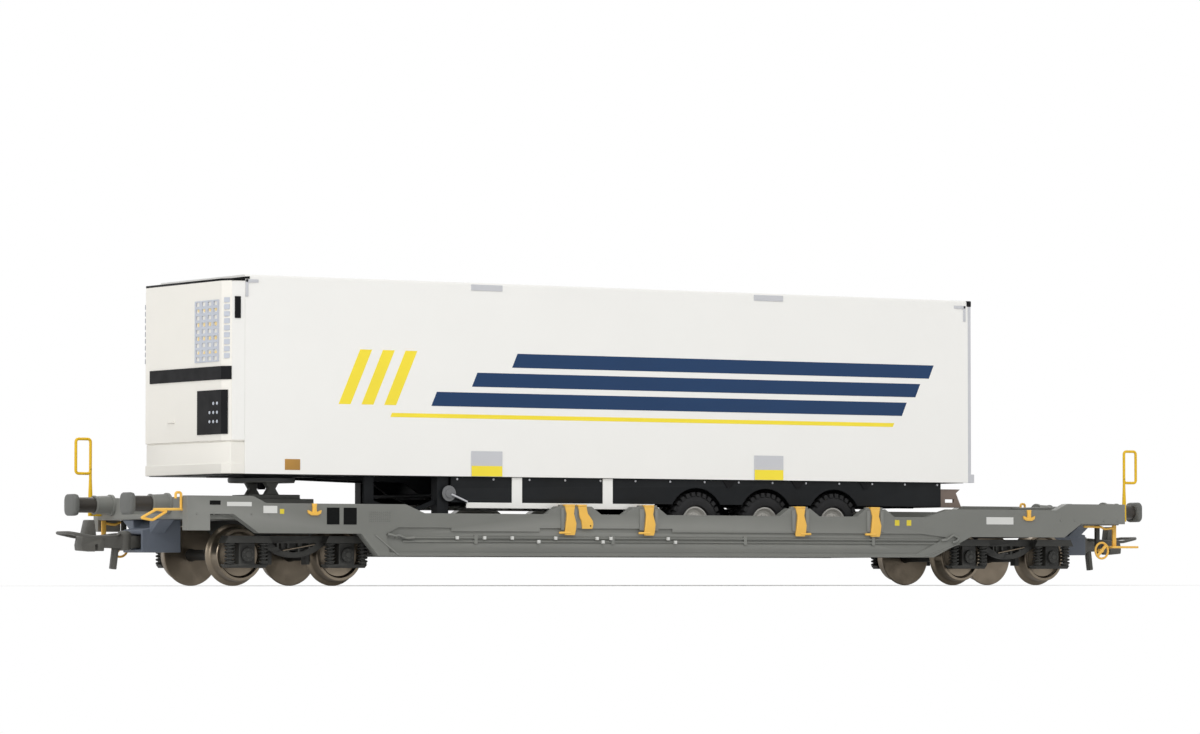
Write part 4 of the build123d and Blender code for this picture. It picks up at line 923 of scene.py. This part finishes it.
def trailer_details(side, side_name):
    """Corner brackets, lifting-pad signs, plate, rivets and the dark top corner of one side."""
    name = "trailer_" + side_name
    face = side * BODY_SIDE
    panel = side * PANEL_FACE

    def build(work):
        for x, z in (((-85.7, -83.3), (49.35, 49.85)), ((-85.7, -85.2), (47.0, 49.85)),
                     ((59.65, 62.2), (49.2, 49.7)), ((61.7, 62.2), (46.9, 49.7))):
            box_at(work, x, (face, side * 15.12), z, 0.05)
        for step in range(15):
            capped_lathe(work, [(0, 0.2), (side * 0.12, 0.13)], spot(-44.5 + 7.2 * step, panel, 17.35),
                         "Y", 12)
    built(name + "_brackets", build, "frame_grey", "trailer")

    def build_signs(work):
        margin = 0.05 * MM
        for low, high in solids("lift_pads"):
            if high.z < RAIL + 30 * MM and low.y * side > 0:
                outer = side * max(abs(low.y), abs(high.y))
                add_block(work, (low.x + margin, high.x - margin),
                          sorted((outer, outer + side * PRINT_THICKNESS * MM)),
                          (low.z + margin, low.z + 0.42 * (high.z - low.z)))
    built(name + "_pad_signs", build_signs, "frame_grey", "trailer", YELLOW)

    def build_plate(work):
        box_at(work, (-78.2, -75.3), (face, side * 15.0), (18.5, 20.3), 0.02)
    built(name + "_plate", build_plate, "body_white", "trailer", GOLD)

    def build_corner(work):
        box_at(work, (62.5, BODY_REAR), (side * 14.0, side * 15.1), (49.6, 50.6), 0.1)
        # Fastening corners at the upper edge of the black panels
        corner = ((5.4, 17.75), (8.2, 17.75), (7.2, 16.4), (6.4, 16.4))
        for axle in TRAILER_AXLES:
            add_prism(work, [(axle + x, z) for x, z in corner], (panel, side * 14.45))
    built(name + "_corner", build_corner, "trim_black", "trailer")


def underbody():
    """Black underside of the trailer and its cooling unit."""
    def build(work):
        box_at(work, (-88.0, 62.0), (-14.5, 14.5), (17.7, 17.82), 0.0)
    built("trailer_underbody", build, "chassis_black", "trailer")


for side, side_name in SIDES:
    livery(side, side_name)
    trailer_details(side, side_name)
underbody()

# ---------------------------------------------------------------- cooling unit


def unit_details():
    """White side faces, warm spots in the grille, slots on the bevelled corners, buttons and a handle."""
    def build_sides(work):
        for side, _ in SIDES:
            box_at(work, (-88.2, -85.8), (side * 14.94, side * 14.97), (23.4, 49.5), 0.0)
    built("unit_side_faces", build_sides, "body_white", "trailer")

    def build_spots(work):
        low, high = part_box("unit_grille")
        for column in range(4):
            for row in range(4):
                y = low.y + (high.y - low.y) * (0.14 + 0.24 * column)
                z = low.z + (high.z - low.z) * (0.14 + 0.24 * row)
                capped_lathe(work, [(0, 0.42), (-0.06, 0.36)], (high.x, y, z), "X", 16)
    built("unit_warm_spots", build_spots, "unit_cream", "trailer", WARM_LIGHT)

    # Upright column of slots on each bevelled corner
    def build_columns(work):
        for side, _ in SIDES:
            inner = Vector((UNIT_FACE, side * 13.7, 0))
            outer = Vector((UNIT_SIDE_X, side * BODY_SIDE, 0))
            along = outer - inner
            turn = Matrix.Rotation(atan2(along.y, along.x), 3, "Z")
            middle = (inner + outer) / 2 + Vector((-along.y * side, along.x * side, 0)).normalized() * 0.02
            for row in range(9):
                block_about(work, spot(middle.x, middle.y, 37.2 + 1.15 * row), (0.5, 0.04, 0.4), turn=turn)
    built("unit_corner_slots", build_columns, "grille_grey", "trailer")

    def build_buttons(work):
        for column, count in enumerate((3, 3, 2)):
            for row in range(count):
                capped_lathe(work, [(0, 0.28), (-0.08, 0.22)],
                             spot(UNIT_FACE - 0.15, -12.2 + 1.3 * column, 26.4 + 1.5 * row), "X", 16)
    built("unit_buttons", build_buttons, "grille_grey", "trailer")

    foot = UNIT_FACE + 0.02
    grip = UNIT_FACE - 0.3
    handle = rounded_path([spot(x, y, 26.6) for x, y in ((foot, 3.0), (grip, 3.0), (grip, 5.0), (foot, 5.0))],
                          0.12 * MM)
    tube("unit_handle", [(handle, False)], 0.12 * MM, "unit_cream", "trailer")


unit_details()

# ---------------------------------------------------------------- rear doors


def door_details():
    """Hinges down both posts, and the levers and keepers of the locking bars."""
    face = BODY_REAR

    def build(work):
        for side, _ in SIDES:
            for z in (21.5, 28.5, 35.5, 42.5, 48.0):
                box_at(work, (face - 0.1, face + 0.18), (side * 12.9, side * 14.7), (z - 0.3, z + 0.3), 0.05)
                capped_lathe(work, [(-0.5, 0.22), (0.5, 0.22)], spot(face + 0.12, side * 14.1, z), "Z", 12)
            for y in (3.2, 10.2):
                for z in (20.5, 26.0, 40.0, 48.2):
                    box_at(work, (face - 0.1, face + 0.25), (side * y - 0.5, side * y + 0.5),
                           (z - 0.2, z + 0.2), 0.04)
                box_at(work, (face + 0.1, face + 0.38), (side * y, side * (y - 2.4)), (25.1, 25.5), 0.06)
    built("trailer_door_fittings", build, "frame_grey", "trailer")


door_details()

# ---------------------------------------------------------------- floor, light and camera


def seen_ray(tree):
    """One for the rays that the camera sees by: its own, and those of reflections and glass."""
    path = new_node(tree, "LightPath").outputs
    seen = path["Is Camera Ray"]
    for other in ("Is Glossy Ray", "Is Transmission Ray"):
        seen = new_node(tree, "Math", {0: seen, 1: path[other]}, operation="MAXIMUM").outputs[0]
    return seen


def studio():
    """White floor that keeps the shadow, white surroundings, and soft lamps at a plain level."""
    floor_mesh = bpy.data.meshes.new("floor")
    reach = 6.0
    floor_mesh.from_pydata([(-reach, -reach, 0), (reach, -reach, 0), (reach, reach, 0), (-reach, reach, 0)],
                           [], [(0, 1, 2, 3)])
    floor = bpy.data.objects.new("studio_floor", floor_mesh)
    bpy.context.scene.collection.objects.link(floor)
    material, shader = principled("floor_white", (0.86, 0.86, 0.86), 0.9, specular=0.0)
    tree = material.node_tree
    shade = blend_colours(tree, noise(tree, 3.0), (0.85, 0.85, 0.85, 1), (0.87, 0.87, 0.87, 1))
    tree.links.new(shade, shader.inputs["Base Color"])
    # Away from the model, what looks at the floor sees plain white, so no edge shows against the surroundings
    place = new_node(tree, "TexCoord").outputs["Object"]
    mapping = new_node(tree, "Mapping", {"Vector": place, "Scale": (0.6, 1.0, 1.0)})
    length = new_node(tree, "VectorMath", {0: mapping.outputs["Vector"]}, operation="LENGTH")
    away = spread(tree, length.outputs["Value"], 0.0, 1.0, 0.03, 0.1)
    faded = new_node(tree, "Math", {0: away, 1: seen_ray(tree)}, operation="MULTIPLY")
    plain = new_node(tree, "Emission", {"Color": PLAIN_WHITE, "Strength": 1.0})
    mixed = new_node(tree, "MixShader", {"Fac": faded.outputs[0], 1: shader.outputs[0], 2: plain.outputs[0]})
    tree.links.new(mixed.outputs[0], tree.nodes["Material Output"].inputs["Surface"])
    floor_mesh.materials.append(material)

    world = bpy.data.worlds.new("studio")
    bpy.context.scene.world = world
    world.use_nodes = True
    tree = world.node_tree
    tree.nodes.clear()
    ambient, white = (new_node(tree, "Background", {"Color": PLAIN_WHITE, "Strength": strength}).outputs[0]
                      for strength in (0.67, 1.0))
    blend = new_node(tree, "MixShader", {"Fac": seen_ray(tree), 1: ambient, 2: white})
    new_node(tree, "OutputWorld", {"Surface": blend.outputs[0]})

    def lamp(name, place, aim, size, power):
        data = bpy.data.lights.new(name, "AREA")
        data.shape = "DISK"
        data.size = size
        data.energy = power
        made = bpy.data.objects.new(name, data)
        bpy.context.scene.collection.objects.link(made)
        made.location = place
        made.rotation_mode = "QUATERNION"
        made.rotation_quaternion = (Vector(aim) - Vector(place)).to_track_quat("-Z", "Y")

    lamp("key", (-0.35, -0.75, 0.75), (0, 0, 0.02), 0.5, 3.2)
    lamp("front", (-0.9, -0.2, 0.35), (-0.05, 0, 0.025), 0.4, 1.6)
    lamp("back", (0.4, 0.8, 0.7), (0, 0, 0.03), 0.6, 2.0)


def camera():
    """Low long-lens camera off the wagon's near front corner, at floor level."""
    data = bpy.data.cameras.new("camera")
    data.lens = 151.9
    data.sensor_width = 36
    data.clip_start = 0.05
    data.clip_end = 20
    made = bpy.data.objects.new("camera", data)
    bpy.context.scene.collection.objects.link(made)
    made.location = (-0.48727, -0.74757, 0.00127)
    made.rotation_euler = (radians(92.39), 0, radians(-32.74))
    bpy.context.scene.camera = made


studio()
camera()
bpy.context.scene.view_settings.view_transform = "Standard"
